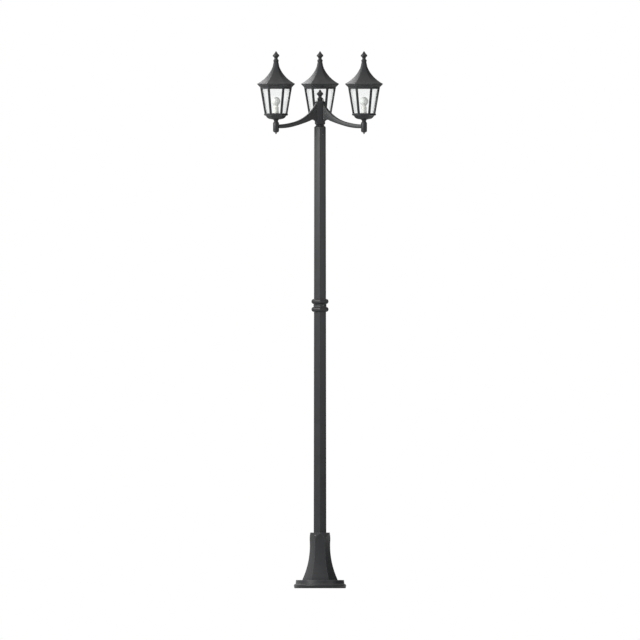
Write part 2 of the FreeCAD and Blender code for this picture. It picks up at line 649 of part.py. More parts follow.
bowlTop = s.neckRise + s.bowlRise
ringTop = bowlTop + s.ringRise
cageTop = ringTop + s.cageRise
corniceTop = cageTop + s.corniceRise
roofTop = corniceTop + s.roofRise
trayTop = ringTop + s.trayThickness
bulbFoot = trayTop + s.holderBaseThickness + s.bulbGap
ringFlat = s.cageBottomFlat + s.ringLedge
glassOutside = s.barThickness + s.glassGap
glassInside = glassOutside + s.glassThickness
trayRadius = s.cageBottomFlat - glassInside - s.trayGap
nippleHole = s.nippleRadius + s.threadFit
bowlFloorLevel = s.neckRise + s.bowlFloor
corniceFlat = s.cageTopFlat + s.corniceSpread
corniceOpening = s.cageTopFlat - s.corniceLand
roofScrewLevel = corniceTop - s.skirtDepth / 2


def bowl(side, azimuth):
    name = f"lantern_{side}_bowl"
    body = newBody(name, lanternSpot(azimuth), flatFront)
    top = ringFlat - s.bowlInset
    widest = ringFlat * flatToCorner + 1
    blank(body, f"{name}Blank", widest, s.neckRise, bowlTop)
    cutSides(body, f"{name}Face", [
        (s.bowlSeatRadius / flatToCorner, s.neckRise), (s.bowlFlat, s.neckRise + s.bowlBottomRise, s.bowlBow),
        (s.bowlWaistFlat, bowlTop - s.bowlLipRise, -s.bowlLipBow), (top, bowlTop)], widest + cutMargin)
    turn(body, f"{name}Neck", [
        (0, 0), (s.neckFootRadius, 0), (s.neckFootRadius, s.neckFootRise, -s.neckFootSweep),
        (s.neckRadius, s.neckRise / 2, -s.neckTopSweep), (s.bowlSeatRadius, s.neckRise), (0, s.neckRise)])
    hollow = s.bowlWaistFlat - s.bowlWall
    turn(body, f"{name}Hollow", [
        (0, bowlFloorLevel), (hollow - s.bowlCove, bowlFloorLevel), (hollow, bowlFloorLevel + s.bowlCove),
        (hollow, bowlTop + 1), (0, bowlTop + 1)], "Groove")
    bore(body, f"{name}Bore", nippleHole, -asSize(cutMargin), bowlFloorLevel + cutMargin)


def frustum(name, lowFlat, highFlat, low, high):
    # A solid between two hexagons with corners left and right.
    rims = []
    for word, flat, level in (("Low", lowFlat, low), ("High", highFlat, high)):
        rim = doc.addObject("Part::RegularPolygon", f"{name}{word}")
        rim.Polygon = hexagonSides
        bind(rim, "Circumradius", flat * flatToCorner)
        bind(rim, "Placement.Base.z", level)
        rims.append(rim)
    made = doc.addObject("Part::Loft", name)
    made.Sections = rims
    made.Solid = True
    made.Ruled = True
    return made


def combine(kind, name, pieces):
    made = doc.addObject(f"Part::{kind}", name)
    if kind == "Cut":
        made.Base, made.Tool = pieces
    else:
        made.Shapes = pieces
    return made


def cylinder(name, radius, low, high):
    made = doc.addObject("Part::Cylinder", name)
    bind(made, "Radius", radius)
    bind(made, "Height", high - low)
    bind(made, "Placement.Base.z", low)
    return made


def cornerSlabs(name, width, low, high):
    # Three slabs that cross on the axis and cover the six corners.
    slabs = []
    half = s.cageTopFlat * flatToCorner + cutMargin
    for number in range(3):
        slab = doc.addObject("Part::Box", f"{name}{number}")
        bind(slab, "Length", half * 2)
        bind(slab, "Width", width)
        bind(slab, "Height", high - low)
        angle = math.radians(60 * number)
        slab.Placement = FreeCAD.Placement(
            FreeCAD.Vector(0, 0, 0), FreeCAD.Rotation(FreeCAD.Vector(0, 0, 1), 60 * number))
        bind(slab, "Placement.Base.x", width * (math.sin(angle) / 2) - half * math.cos(angle))
        bind(slab, "Placement.Base.y", -half * math.sin(angle) - width * (math.cos(angle) / 2))
        bind(slab, "Placement.Base.z", low)
        slabs.append(slab)
    return combine("MultiFuse", name, slabs)


def cage(side, azimuth):
    name = f"lantern_{side}_cage"
    wall = s.barThickness
    outer = frustum(f"{name}Outer", s.cageBottomFlat, s.cageTopFlat, ringTop, cageTop)
    inner = frustum(f"{name}Inner", s.cageBottomFlat - wall, s.cageTopFlat - wall, ringTop, cageTop)
    shell = combine("Cut", f"{name}Shell", [outer, inner])
    slabs = cornerSlabs(f"{name}Slab", s.barWidth, ringTop, cageTop)
    bars = combine("MultiCommon", f"{name}Bars", [shell, slabs])
    bandLow = cageTop - s.topBandRise
    band = combine("MultiCommon", f"{name}Band", [
        shell, cylinder(f"{name}BandRoom", s.cageTopFlat * 2, bandLow, cageTop)])
    ring = combine("Cut", f"{name}Ring", [
        frustum(f"{name}RingForm", ringFlat, ringFlat, bowlTop, ringTop),
        cylinder(f"{name}RingOpening", trayRadius - s.trayLedge, bowlTop - cutMargin, ringTop + cutMargin)])
    made = combine("MultiFuse", name, [bars, band, ring])
    made.Refine = True
    made.Label = name
    place(made, lanternSpot(azimuth))
    subparts.append(made)


def glassPanes(side, azimuth):
    name = f"lantern_{side}_glass_panes"
    high = cageTop - s.glassTopGap
    outer = frustum(f"{name}Outer", s.cageBottomFlat - glassOutside, s.cageTopFlat - glassOutside, ringTop, high)
    inner = frustum(f"{name}Inner", s.cageBottomFlat - glassInside, s.cageTopFlat - glassInside, ringTop, high)
    shell = combine("Cut", f"{name}Shell", [outer, inner])
    made = combine("Cut", name, [
        shell, cornerSlabs(f"{name}Slab", s.barWidth - s.glassOverlap * 2, ringTop, high)])
    made.Label = name
    place(made, lanternSpot(azimuth))
    subparts.append(made)


def cornice(side, azimuth):
    # The stepped moulding under the eaves.
    name = f"lantern_{side}_cornice"
    body = newBody(name, lanternSpot(azimuth), flatFront)
    widest = corniceFlat * flatToCorner + 1
    blank(body, f"{name}Blank", widest, cageTop, corniceTop)
    tread = s.corniceSpread / s.corniceSteps
    riser = s.corniceRise / (s.corniceSteps + 1)
    corners = [(s.cageTopFlat, cageTop)]
    for number in range(sizes["corniceSteps"]):
        level = cageTop + riser * (number + 1)
        inset = s.cageTopFlat + tread * number
        corners += [(inset, level), (inset + tread, level + s.corniceStepSlope)]
    corners.append((corniceFlat, corniceTop))
    cutSides(body, f"{name}Face", corners, widest + cutMargin)
    bore(body, f"{name}Opening", corniceOpening, cageTop - cutMargin, corniceTop + cutMargin)
    screwHoles(body, f"{name}ScrewHole", roofScrewLevel, widest, arms["rear"] - flatFront)


def roof(side, azimuth):
    name = f"lantern_{side}_roof"
    body = newBody(name, lanternSpot(azimuth), flatFront)
    edge = corniceFlat + s.eaveOverhang
    widest = edge * flatToCorner + 1
    blank(body, f"{name}Blank", widest, corniceTop, roofTop)
    cutSides(body, f"{name}Face", [
        (edge, corniceTop), (edge, corniceTop + s.roofEdgeRise, -s.roofSweepRadius),
        (s.roofNeckFlat, corniceTop + s.roofSweepTop), (s.roofTopFlat, roofTop)], widest + cutMargin)
    outer = corniceOpening - s.skirtGap
    inner = outer - s.skirtWall
    low = corniceTop - s.skirtDepth
    turn(body, f"{name}Skirt", [
        (inner, low), (outer, low), (outer, corniceTop + 1), (inner, corniceTop + 1)])
    ceiling = corniceTop + s.roofHollowTop
    turn(body, f"{name}Hollow", [
        (0, low - 1), (inner, low - 1), (inner, corniceTop + s.roofShoulder, -(s.roofSweepRadius + s.roofWall)),
        (s.roofHollowNeck, ceiling), (0, ceiling)], "Groove")
    bore(body, f"{name}StudHole", s.finialStudRadius + s.threadFit, ceiling - cutMargin, roofTop + cutMargin)


def tray(side, azimuth):
    name = f"lantern_{side}_tray"
    body = newBody(name, lanternSpot(azimuth))
    turn(body, f"{name}Form", [
        (nippleHole, ringTop), (trayRadius, ringTop), (trayRadius, trayTop), (nippleHole, trayTop)])


def lampHolder(side, azimuth):
    name = f"lantern_{side}_lamp_holder"
    body = newBody(name, lanternSpot(azimuth))
    radius = s.holderRadius
    waist = radius - s.holderGroove
    ceiling = trayTop + s.nippleEnd + s.nippleRoom
    floor = trayTop + s.holderBaseThickness
    foot = trayTop + s.holderFootRise
    top = trayTop + s.holderRise
    socket = s.capRadius + s.socketGap
    turn(body, f"{name}Form", [
        (nippleHole, trayTop), (radius, trayTop), (radius, foot), (waist, foot + s.holderSlope),
        (waist, top - s.holderRimRise - s.holderSlope), (radius, top - s.holderRimRise), (radius, top),
        (socket, top), (socket, floor), (0, floor), (0, ceiling), (nippleHole, ceiling)])


def nipple(side, azimuth):
    name = f"lantern_{side}_nipple"
    body = newBody(name, lanternSpot(azimuth))
    hollow = s.nippleRadius - s.nippleWall
    end = trayTop + s.nippleEnd
    turn(body, f"{name}Form", [
        (hollow, -s.nippleDrop), (s.nippleRadius, -s.nippleDrop), (s.nippleRadius, end), (hollow, end)])


def bulbCap(side, azimuth):
    name = f"lantern_{side}_bulb_cap"
    body = newBody(name, lanternSpot(azimuth))
    tip = bulbFoot + s.tipRise
    top = bulbFoot + s.capRise
    turn(body, f"{name}Form", [
        (0, bulbFoot), (s.tipRadius, bulbFoot), (s.tipRadius, tip), (s.capRadius - s.capTaper, tip + s.capTaperRise),
        (s.capRadius, tip + s.capTaperRise * 2), (s.capRadius, top), (0, top)])


def bulbGlass(side, azimuth):
    name = f"lantern_{side}_bulb_glass"
    body = newBody(name, lanternSpot(azimuth))
    foot = bulbFoot + s.capRise
    centre = bulbFoot + s.bulbCentreRise
    angle = math.radians(sizes["bulbShoulderAngle"])
    outer = s.bulbRadius
    inner = outer - s.bulbWall
    neck = s.capRadius - s.bulbNeckInset
    turn(body, f"{name}Form", [
        (neck, foot), (neck, foot + s.bulbNeckRise),
        (outer * math.cos(angle), centre - outer * math.sin(angle), outer), (0, centre + outer),
        (0, centre + inner, -inner), (inner * math.cos(angle), centre - inner * math.sin(angle)),
        (neck - s.bulbWall, foot + s.bulbNeckRise), (neck - s.bulbWall, foot)])


def roofScrews():
    inner = corniceOpening + s.screwGap
    outer = corniceFlat - s.roofScrewSink
    spots = []
    for azimuth in arms.values():
        across, along, seat = lanternSpot(azimuth)
        spots += [(heading, inner, outer - inner, seat + roofScrewLevel, across, along)
                  for heading in arms.values()]
    rods("roof_screws", s.smallScrewRadius, spots)


def lockNuts():
    pieces = []
    across = s.nutAcross / 2
    for side, azimuth in arms.items():
        name = f"lock_nut_{side}"
        form = frustum(f"{name}Form", across, across, asSize(0), s.nutThickness)
        hole = cylinder(f"{name}Hole", nippleHole, asSize(-cutMargin), s.nutThickness + cutMargin)
        nut = combine("Cut", name, [form, hole])
        spot = lanternSpot(azimuth)
        place(nut, (spot[0], spot[1], spot[2] + bowlFloorLevel))
        pieces.append(nut)
    group("lantern_lock_nuts", pieces)


for make in (basePlate, plinth, pedestal, pedestalScrews, terminalBox, earthStud, poles, jointSleeve, jointScrews,
             midCollar, collarScrews, headColumn, columnScrews):
    make()
finial("head_finial", (0, 0, poleTop + columnTop + s.columnShoulderRise))
for side, azimuth in arms.items():
    for make in (arm, endCap, bowl, cage, glassPanes, cornice, roof, tray, lampHolder, nipple, bulbCap, bulbGlass):
        make(side, azimuth)
    spot = lanternSpot(azimuth)
    finial(f"lantern_{side}_finial", (spot[0], spot[1], spot[2] + roofTop))
roofScrews()
lockNuts()
doc.recompute()

os.makedirs("parts", exist_ok=True)
for thing in doc.Objects:
    if "Invalid" in thing.State or "Error" in thing.State:
        raise RuntimeError(f"{thing.Label} failed: {thing.State}")
for thing in subparts:
    shape = thing.Shape
    if shape.isNull() or not shape.isValid() or not shape.Solids:
        raise RuntimeError(f"{thing.Label} has no sound shape")
    shape.exportStep(os.path.join("parts", f"{thing.Label}.step"))
    box = shape.BoundBox
    print(f"{thing.Label:24s} solids {len(shape.Solids):2d} volume {shape.Volume:12.0f}  "
          f"z {box.ZMin:8.1f} {box.ZMax:8.1f}  x {box.XMin:7.1f} {box.XMax:7.1f}")
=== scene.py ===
import math
import bpy
from mathutils import Matrix, Vector


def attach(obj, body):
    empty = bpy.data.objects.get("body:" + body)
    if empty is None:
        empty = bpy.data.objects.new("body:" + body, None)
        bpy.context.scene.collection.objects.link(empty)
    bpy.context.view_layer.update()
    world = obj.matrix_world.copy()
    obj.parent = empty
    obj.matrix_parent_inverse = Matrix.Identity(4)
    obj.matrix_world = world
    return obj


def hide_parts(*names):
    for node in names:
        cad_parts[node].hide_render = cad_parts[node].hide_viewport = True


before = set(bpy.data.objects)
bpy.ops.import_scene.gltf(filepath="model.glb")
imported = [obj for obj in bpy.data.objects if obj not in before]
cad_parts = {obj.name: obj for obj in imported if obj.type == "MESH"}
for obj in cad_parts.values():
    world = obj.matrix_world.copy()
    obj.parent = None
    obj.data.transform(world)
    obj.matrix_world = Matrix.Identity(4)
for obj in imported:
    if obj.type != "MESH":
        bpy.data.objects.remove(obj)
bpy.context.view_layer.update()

# Sizes are in millimetres and heights are above the ground. A flat is the distance from a hexagon's centre to
# the middle of its side.
mm = 0.001
hexagon = 6
toCorner = 1 / math.cos(math.pi / hexagon)
cornerToFront = 0
flatToFront = 30
roundSides = 64
armTurns = {"rear": 90, "left": 210, "right": 330}
armReach = 320
poleTop = 2904
lanternSeat = 2934
flatSides = (60, 180, 300)


# Working helpers

def clearSelection():
    if bpy.context.object and bpy.context.object.mode != "OBJECT":
        bpy.ops.object.mode_set(mode="OBJECT")
    bpy.ops.object.select_all(action="DESELECT")


def workOn(piece):
    clearSelection()
    piece.select_set(True)
    bpy.context.view_layer.objects.active = piece


def pick(piece, kind, test):
    # Selects the vertices, edges or faces that pass the test, and leaves the piece in edit mode.
    workOn(piece)
    bpy.ops.object.mode_set(mode="EDIT")
    bpy.ops.mesh.select_mode(type=kind)
    bpy.ops.mesh.select_all(action="DESELECT")
    bpy.ops.object.mode_set(mode="OBJECT")
    mesh = piece.data
    if kind == "FACE":
        for face in mesh.polygons:
            face.select = test(face.center, face.normal)
    elif kind == "EDGE":
        for edge in mesh.edges:
            edge.select = test(*[mesh.vertices[end].co for end in edge.vertices])
    else:
        for vertex in mesh.vertices:
            vertex.select = test(vertex.co)
    bpy.ops.object.mode_set(mode="EDIT")


def arcPoints(begin, end, radius, steps):
    # The way along an arc. Its centre lies to the left of the way where the radius is positive.
    start, stop = Vector(begin), Vector(end)
    chord = stop - start
    left = Vector((-chord.y, chord.x)).normalized()
    rise = math.sqrt(max(radius * radius - chord.length_squared / 4, 0))
    centre = (start + stop) / 2 + left * math.copysign(rise, radius)
    first, last = (start - centre), (stop - centre)
    sweep = math.atan2(first.x * last.y - first.y * last.x, first.dot(last))
    points = []
    for step in range(1, steps + 1):
        angle = sweep * step / steps
        spin = Vector((first.x * math.cos(angle) - first.y * math.sin(angle),
                       first.x * math.sin(angle) + first.y * math.cos(angle)))
        points.append(tuple(centre + spin))
    return points


def profile(corners, steps=8, scale=1.0):
    # Corners are (radius, height) or (radius, height, radius of the arc that leads on).
    points = [(corners[0][0], corners[0][1])]
    for here, there in zip(corners, corners[1:]):
        if len(here) == 3:
            points += arcPoints(here[:2], there[:2], here[2], steps)
        else:
            points.append((there[0], there[1]))
    return [(across * scale, up) for across, up in points]


def growRings(sides, rings, start=0.0, closed=False):
    # A form that is extruded ring by ring from its first circle. A closed form ends where it began.
    clearSelection()
    firstWide, firstLow = rings[0]
    bpy.ops.mesh.primitive_circle_add(vertices=sides, radius=firstWide * mm, location=(0, 0, firstLow * mm),
                                      rotation=(0, 0, math.radians(start)))
    piece = bpy.context.object
    bpy.ops.object.mode_set(mode="EDIT")
    bpy.ops.mesh.select_mode(type="VERT")
    bpy.ops.mesh.select_all(action="SELECT")
    for (wide, low), (nextWide, high) in zip(rings, rings[1:]):
        growth = nextWide / wide
        bpy.ops.mesh.extrude_region_move(TRANSFORM_OT_translate={"value": (0, 0, (high - low) * mm)})
        bpy.ops.transform.resize(value=(growth, growth, 1), center_override=(0, 0, high * mm))
    bpy.ops.mesh.select_all(action="SELECT")
    if closed:
        bpy.ops.mesh.remove_doubles(threshold=0.00002)
    else:
        bpy.ops.mesh.fill_holes(sides=0)
    bpy.ops.mesh.normals_make_consistent(inside=False)
    bpy.ops.object.mode_set(mode="OBJECT")
    bpy.ops.object.transform_apply(location=True, rotation=True, scale=True)
    return piece


def growHexagon(corners, start, steps=1, closed=False):
    # The corners give the hexagon's flats, and the start turns a corner or a flat to the front.
    return growRings(hexagon, profile(corners, steps, toCorner), start, closed)


def useModifier(piece, kind, **settings):
    made = piece.modifiers.new(kind.lower(), kind)
    for name, value in settings.items():
        setattr(made, name, value)
    workOn(piece)
    bpy.ops.object.modifier_apply(modifier=made.name)


def shadeSmooth(piece, angle=38):
    workOn(piece)
    bpy.ops.object.shade_smooth_by_angle(angle=math.radians(angle))


def soften(piece, width, segments=2, angle=30):
    useModifier(piece, "BEVEL", width=width * mm, segments=segments, limit_method="ANGLE",
                angle_limit=math.radians(angle), use_clamp_overlap=True)
    shadeSmooth(piece)


def carve(piece, tool, operation):
    useModifier(piece, "BOOLEAN", operation=operation, object=tool, solver="EXACT")
    bpy.data.objects.remove(tool)


def drill(piece, headings, hole):
    # Round holes square to the axis, each with its mouth at that reach from the axis.
    for heading in headings:
        angle = math.radians(heading)
        mouth = Vector((hole["reach"] * math.cos(angle), hole["reach"] * math.sin(angle), hole["level"]))
        clearSelection()
        bpy.ops.mesh.primitive_cylinder_add(
            vertices=32, radius=hole["radius"] * mm, depth=hole["depth"] * 2 * mm,
            location=mouth * mm, rotation=(0, math.radians(90), angle))
        carve(piece, bpy.context.object, "DIFFERENCE")
    shadeSmooth(piece)


def joined(pieces):
    workOn(pieces[0])
    for piece in pieces:
        piece.select_set(True)
    bpy.ops.object.join()
    return bpy.context.object


def moved(piece, shift=(0, 0, 0), turn=0.0, tilt=0.0):
    workOn(piece)
    piece.matrix_world = (Matrix.Translation(Vector(shift) * mm) @ Matrix.Rotation(math.radians(turn), 4, "Z")
                          @ Matrix.Rotation(math.radians(tilt), 4, "Y"))
    bpy.ops.object.transform_apply(location=True, rotation=True, scale=True)
    return piece


def copied(piece, shift=(0, 0, 0), turn=0.0, tilt=0.0):
    twin = piece.copy()
    twin.data = piece.data.copy()
    bpy.context.collection.objects.link(twin)
    return moved(twin, shift, turn, tilt)


def dress(piece, name, body, material, slotName, *nodes):
    piece.name = name
    piece.data.name = name
    piece.data.materials.clear()
    piece.data.materials.append(material)
    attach(piece, body)
    if nodes:
        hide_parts(*nodes)
    return piece


def lanternShift(side):
    angle = math.radians(armTurns[side])
    return armReach * math.cos(angle), armReach * math.sin(angle), lanternSeat


# Shared effects for the finishes

def newGroup(name, inputs, outputs):
    group = bpy.data.node_groups.new(name, "ShaderNodeTree")
    for label, default in inputs.items():
        socket = group.interface.new_socket(label, in_out="INPUT", socket_type="NodeSocketFloat")
        socket.default_value = default
    for label, kind in outputs.items():
        group.interface.new_socket(label, in_out="OUTPUT", socket_type=kind)
    return group, group.nodes.new("NodeGroupInput"), group.nodes.new("NodeGroupOutput")


def setRange(node, limits):
    for label, value in zip(("From Min", "From Max", "To Min", "To Max"), limits):
        node.inputs[label].default_value = value


effects = {
    "grainDetail": 3.0, "grainRoughness": 0.55, "cloudDetail": 4.0,
    # The wear range sets how sharp an arris must be to take the worn colour, which is partly a painted
    # highlight.
    "wearAndHighlightRange": (0.996, 0.955, 0.0, 1.0), "breaksDetail": 5.0, "breaksRange": (0.40, 0.62, 0.15, 1.0),
    "dustDetail": 6.0, "dustRange": (0.45, 1.0, 0.0, 1.0),
}


def makeGrain():
    # Fine grain of a coat or casting, with broad, faint changes of tone.
    group, entry, result = newGroup("coatGrain", {"Scale": 900.0, "Cloud": 7.0},
                                    {"Height": "NodeSocketFloat", "Tone": "NodeSocketFloat"})
    nodes, links = group.nodes, group.links
    place = nodes.new("ShaderNodeTexCoord")
    fine = nodes.new("ShaderNodeTexNoise")
    fine.inputs["Detail"].default_value = effects["grainDetail"]
    fine.inputs["Roughness"].default_value = effects["grainRoughness"]
    broad = nodes.new("ShaderNodeTexNoise")
    broad.inputs["Detail"].default_value = effects["cloudDetail"]
    links.new(place.outputs["Object"], fine.inputs["Vector"])
    links.new(place.outputs["Object"], broad.inputs["Vector"])
    links.new(entry.outputs["Scale"], fine.inputs["Scale"])
    links.new(entry.outputs["Cloud"], broad.inputs["Scale"])
    links.new(fine.outputs["Fac"], result.inputs["Height"])
    links.new(broad.outputs["Fac"], result.inputs["Tone"])
    return group


def makeEdgeWearAndHighlight():
    # A mask of the arrises, where handling and weather thin the coat and where the lighter colour also stands
    # in for a painted highlight along the edges.
    group, entry, result = newGroup("edgeWearAndHighlight", {"Radius": 0.003, "Breaks": 60.0},
                                    {"Mask": "NodeSocketFloat"})
    nodes, links = group.nodes, group.links
    place = nodes.new("ShaderNodeTexCoord")
    rounded = nodes.new("ShaderNodeBevel")
    rounded.samples = 4
    geometry = nodes.new("ShaderNodeNewGeometry")
    dot = nodes.new("ShaderNodeVectorMath")
    dot.operation = "DOT_PRODUCT"
    spread = nodes.new("ShaderNodeMapRange")
    setRange(spread, effects["wearAndHighlightRange"])
    breaks = nodes.new("ShaderNodeTexNoise")
    breaks.inputs["Detail"].default_value = effects["breaksDetail"]
    gate = nodes.new("ShaderNodeMapRange")
    setRange(gate, effects["breaksRange"])
    product = nodes.new("ShaderNodeMath")
    product.operation = "MULTIPLY"
    links.new(entry.outputs["Radius"], rounded.inputs["Radius"])
    links.new(rounded.outputs["Normal"], dot.inputs[0])
    links.new(geometry.outputs["Normal"], dot.inputs[1])
    links.new(dot.outputs["Value"], spread.inputs["Value"])
    links.new(place.outputs["Object"], breaks.inputs["Vector"])
    links.new(entry.outputs["Breaks"], breaks.inputs["Scale"])
    links.new(breaks.outputs["Fac"], gate.inputs["Value"])
    links.new(spread.outputs["Result"], product.inputs[0])
    links.new(gate.outputs["Result"], product.inputs[1])
    links.new(product.outputs["Value"], result.inputs["Mask"])
    return group


def makeDust():
    # A mask of the dust that settles on faces that look up.
    group, entry, result = newGroup("settledDust", {"Amount": 0.5, "Scale": 30.0},
                                    {"Mask": "NodeSocketFloat"})
    nodes, links = group.nodes, group.links
    place = nodes.new("ShaderNodeTexCoord")
    geometry = nodes.new("ShaderNodeNewGeometry")
    split = nodes.new("ShaderNodeSeparateXYZ")
    facing = nodes.new("ShaderNodeMapRange")
    setRange(facing, effects["dustRange"])
    patches = nodes.new("ShaderNodeTexNoise")
    patches.inputs["Detail"].default_value = effects["dustDetail"]
    first = nodes.new("ShaderNodeMath")
    first.operation = "MULTIPLY"
    second = nodes.new("ShaderNodeMath")
    second.operation = "MULTIPLY"
    links.new(geometry.outputs["Normal"], split.inputs[0])
    links.new(split.outputs["Z"], facing.inputs["Value"])
    links.new(place.outputs["Object"], patches.inputs["Vector"])
    links.new(entry.outputs["Scale"], patches.inputs["Scale"])
    links.new(facing.outputs["Result"], first.inputs[0])
    links.new(patches.outputs["Fac"], first.inputs[1])
    links.new(first.outputs["Value"], second.inputs[0])
    links.new(entry.outputs["Amount"], second.inputs[1])
    links.new(second.outputs["Value"], result.inputs["Mask"])
    return group


coatGrain = makeGrain()
edgeWearAndHighlight = makeEdgeWearAndHighlight()
settledDust = makeDust()


def newFinish(name, **values):
    material = bpy.data.materials.new(name)
    material.use_nodes = True
    shader = material.node_tree.nodes["Principled BSDF"]
    for label, value in values.items():
        shader.inputs[label.replace("_", " ")].default_value = value
    return material, shader


def addGroup(material, group, **values):
    node = material.node_tree.nodes.new("ShaderNodeGroup")
    node.node_tree = group
    for label, value in values.items():
        node.inputs[label].default_value = value
    return node


def mixColours(material, mask, low, high):
    mix = material.node_tree.nodes.new("ShaderNodeMix")
    mix.data_type = "RGBA"
    for index, colour in ((6, low), (7, high)):
        if isinstance(colour, bpy.types.NodeSocket):
            material.node_tree.links.new(colour, mix.inputs[index])
        else:
            mix.inputs[index].default_value = (*colour, 1.0)
    material.node_tree.links.new(mask, mix.inputs["Factor"])
    return mix.outputs[2]


def mapValue(material, value, low, high):
    spread = material.node_tree.nodes.new("ShaderNodeMapRange")
    spread.inputs["To Min"].default_value = low
    spread.inputs["To Max"].default_value = high
    material.node_tree.links.new(value, spread.inputs["Value"])
    return spread.outputs["Result"]


def addBump(material, shader, height, strength, distance):
    bump = material.node_tree.nodes.new("ShaderNodeBump")
    bump.inputs["Strength"].default_value = strength
    bump.inputs["Distance"].default_value = distance
    material.node_tree.links.new(height, bump.inputs["Height"])
    material.node_tree.links.new(bump.outputs["Normal"], shader.inputs["Normal"])


def coatFinish(name, grainScale, grainDepth, roughness, wearAndHighlightRadius, settings):
    # Black powder coat: tone from the cloud, arrises lightened partly by wear and partly as a painted
    # highlight, and dust.
    material, shader = newFinish(name, Metallic=0.0)
    shader.inputs["IOR"].default_value = 1.5
    shader.inputs["Specular IOR Level"].default_value = settings["specular"]
    links = material.node_tree.links
    grain = addGroup(material, coatGrain, Scale=grainScale, Cloud=settings["cloud"])
    wearAndHighlight = addGroup(material, edgeWearAndHighlight, Radius=wearAndHighlightRadius, Breaks=settings["wearAndHighlightBreaks"])
    dust = addGroup(material, settledDust, Amount=settings["dust"], Scale=settings["dustScale"])
    base = mixColours(material, grain.outputs["Tone"], settings["dark"], settings["light"])
    # The arrises are lightened: partly worn coat, partly a painted highlight.
    wornAndHighlit = mixColours(material, mapValue(material, wearAndHighlight.outputs["Mask"], 0.0, settings["wearAndHighlight"]), base,
                      settings["wornAndHighlightColour"])
    dusty = mixColours(material, dust.outputs["Mask"], wornAndHighlit, settings["dustColour"])
    links.new(dusty, shader.inputs["Base Color"])
    links.new(mapValue(material, grain.outputs["Tone"], roughness - settings["smoother"],
                       roughness + settings["rougher"]), shader.inputs["Roughness"])
    addBump(material, shader, grain.outputs["Height"], grainDepth, settings["grainHeight"])
    return material


def grainedFinish(name, kind, colour, dark, roughness, grainScale, grainDepth, **values):
    # Bare metal, porcelain or plastic: tone from the cloud, and gloss from the grain or the cloud.
    material, shader = newFinish(name, Metallic=kind["metallic"], **values)
    grain = addGroup(material, coatGrain, Scale=grainScale, Cloud=kind["cloud"])
    links = material.node_tree.links
    links.new(mixColours(material, grain.outputs["Tone"], dark, colour), shader.inputs["Base Color"])
    links.new(mapValue(material, grain.outputs[kind["glossFrom"]], roughness - kind["smoother"],
                       roughness + kind["rougher"]), shader.inputs["Roughness"])
    addBump(material, shader, grain.outputs["Height"], grainDepth, kind["grainHeight"])
    return material


coat = {
    "dark": (0.012, 0.0125, 0.014), "light": (0.022, 0.023, 0.025), "cloud": 16.0, "specular": 0.34,
    "smoother": 0.06, "rougher": 0.08, "grainHeight": 0.0006,
    # The worn colour on the arrises is partly wear and partly a painted highlight that makes the edges read
    # as light lines.
    "wearAndHighlight": 0.50, "wearAndHighlightBreaks": 90.0, "wornAndHighlightColour": (0.16, 0.16, 0.165),
    "dust": 0.13, "dustScale": 26.0, "dustColour": (0.34, 0.32, 0.29),
}
metal = {
    "metallic": 1.0, "cloud": 40.0, "glossFrom": "Height", "smoother": 0.08, "rougher": 0.1,
    "grainHeight": 0.0003,
}
plain = {
    "metallic": 0.0, "cloud": 12.0, "glossFrom": "Tone", "smoother": 0.04, "rougher": 0.06,
    "grainHeight": 0.0003,
}
# Each coat has its grain's scale and depth, its roughness and the reach of its worn arrises with their
# painted edge highlight.
castCoat = coatFinish("castCoat", 520.0, 0.35, 0.40, 0.0018, coat)
baseCoat = coatFinish("baseCoat", 420.0, 0.40, 0.40, 0.0040, coat)
tubeCoat = coatFinish("tubeCoat", 1100.0, 0.16, 0.34, 0.0030, coat)
# The others have a light and a dark tone, their roughness, and their grain's scale and depth.
zincSteel = grainedFinish("zincSteel", metal, (0.30, 0.30, 0.30), (0.20, 0.20, 0.205), 0.40, 600.0, 0.1)
galvanisedSteel = grainedFinish("galvanisedSteel", metal, (0.60, 0.62, 0.63), (0.42, 0.44, 0.45),
                                0.46, 90.0, 0.2)
millAluminium = grainedFinish("millAluminium", metal, (0.78, 0.78, 0.79), (0.66, 0.66, 0.67),
                              0.32, 400.0, 0.08)
capNickel = grainedFinish("capNickel", metal, (0.78, 0.75, 0.68), (0.66, 0.63, 0.56), 0.24, 500.0, 0.06)
earthBrass = grainedFinish("earthBrass", metal, (0.78, 0.60, 0.28), (0.64, 0.48, 0.22), 0.26, 500.0, 0.06)
porcelain = grainedFinish("porcelain", plain, (0.82, 0.81, 0.77), (0.77, 0.755, 0.71), 0.16, 300.0, 0.05)
terminalGrey = grainedFinish("terminalGrey", plain, (0.34, 0.35, 0.36), (0.28, 0.29, 0.30), 0.55, 700.0, 0.15)


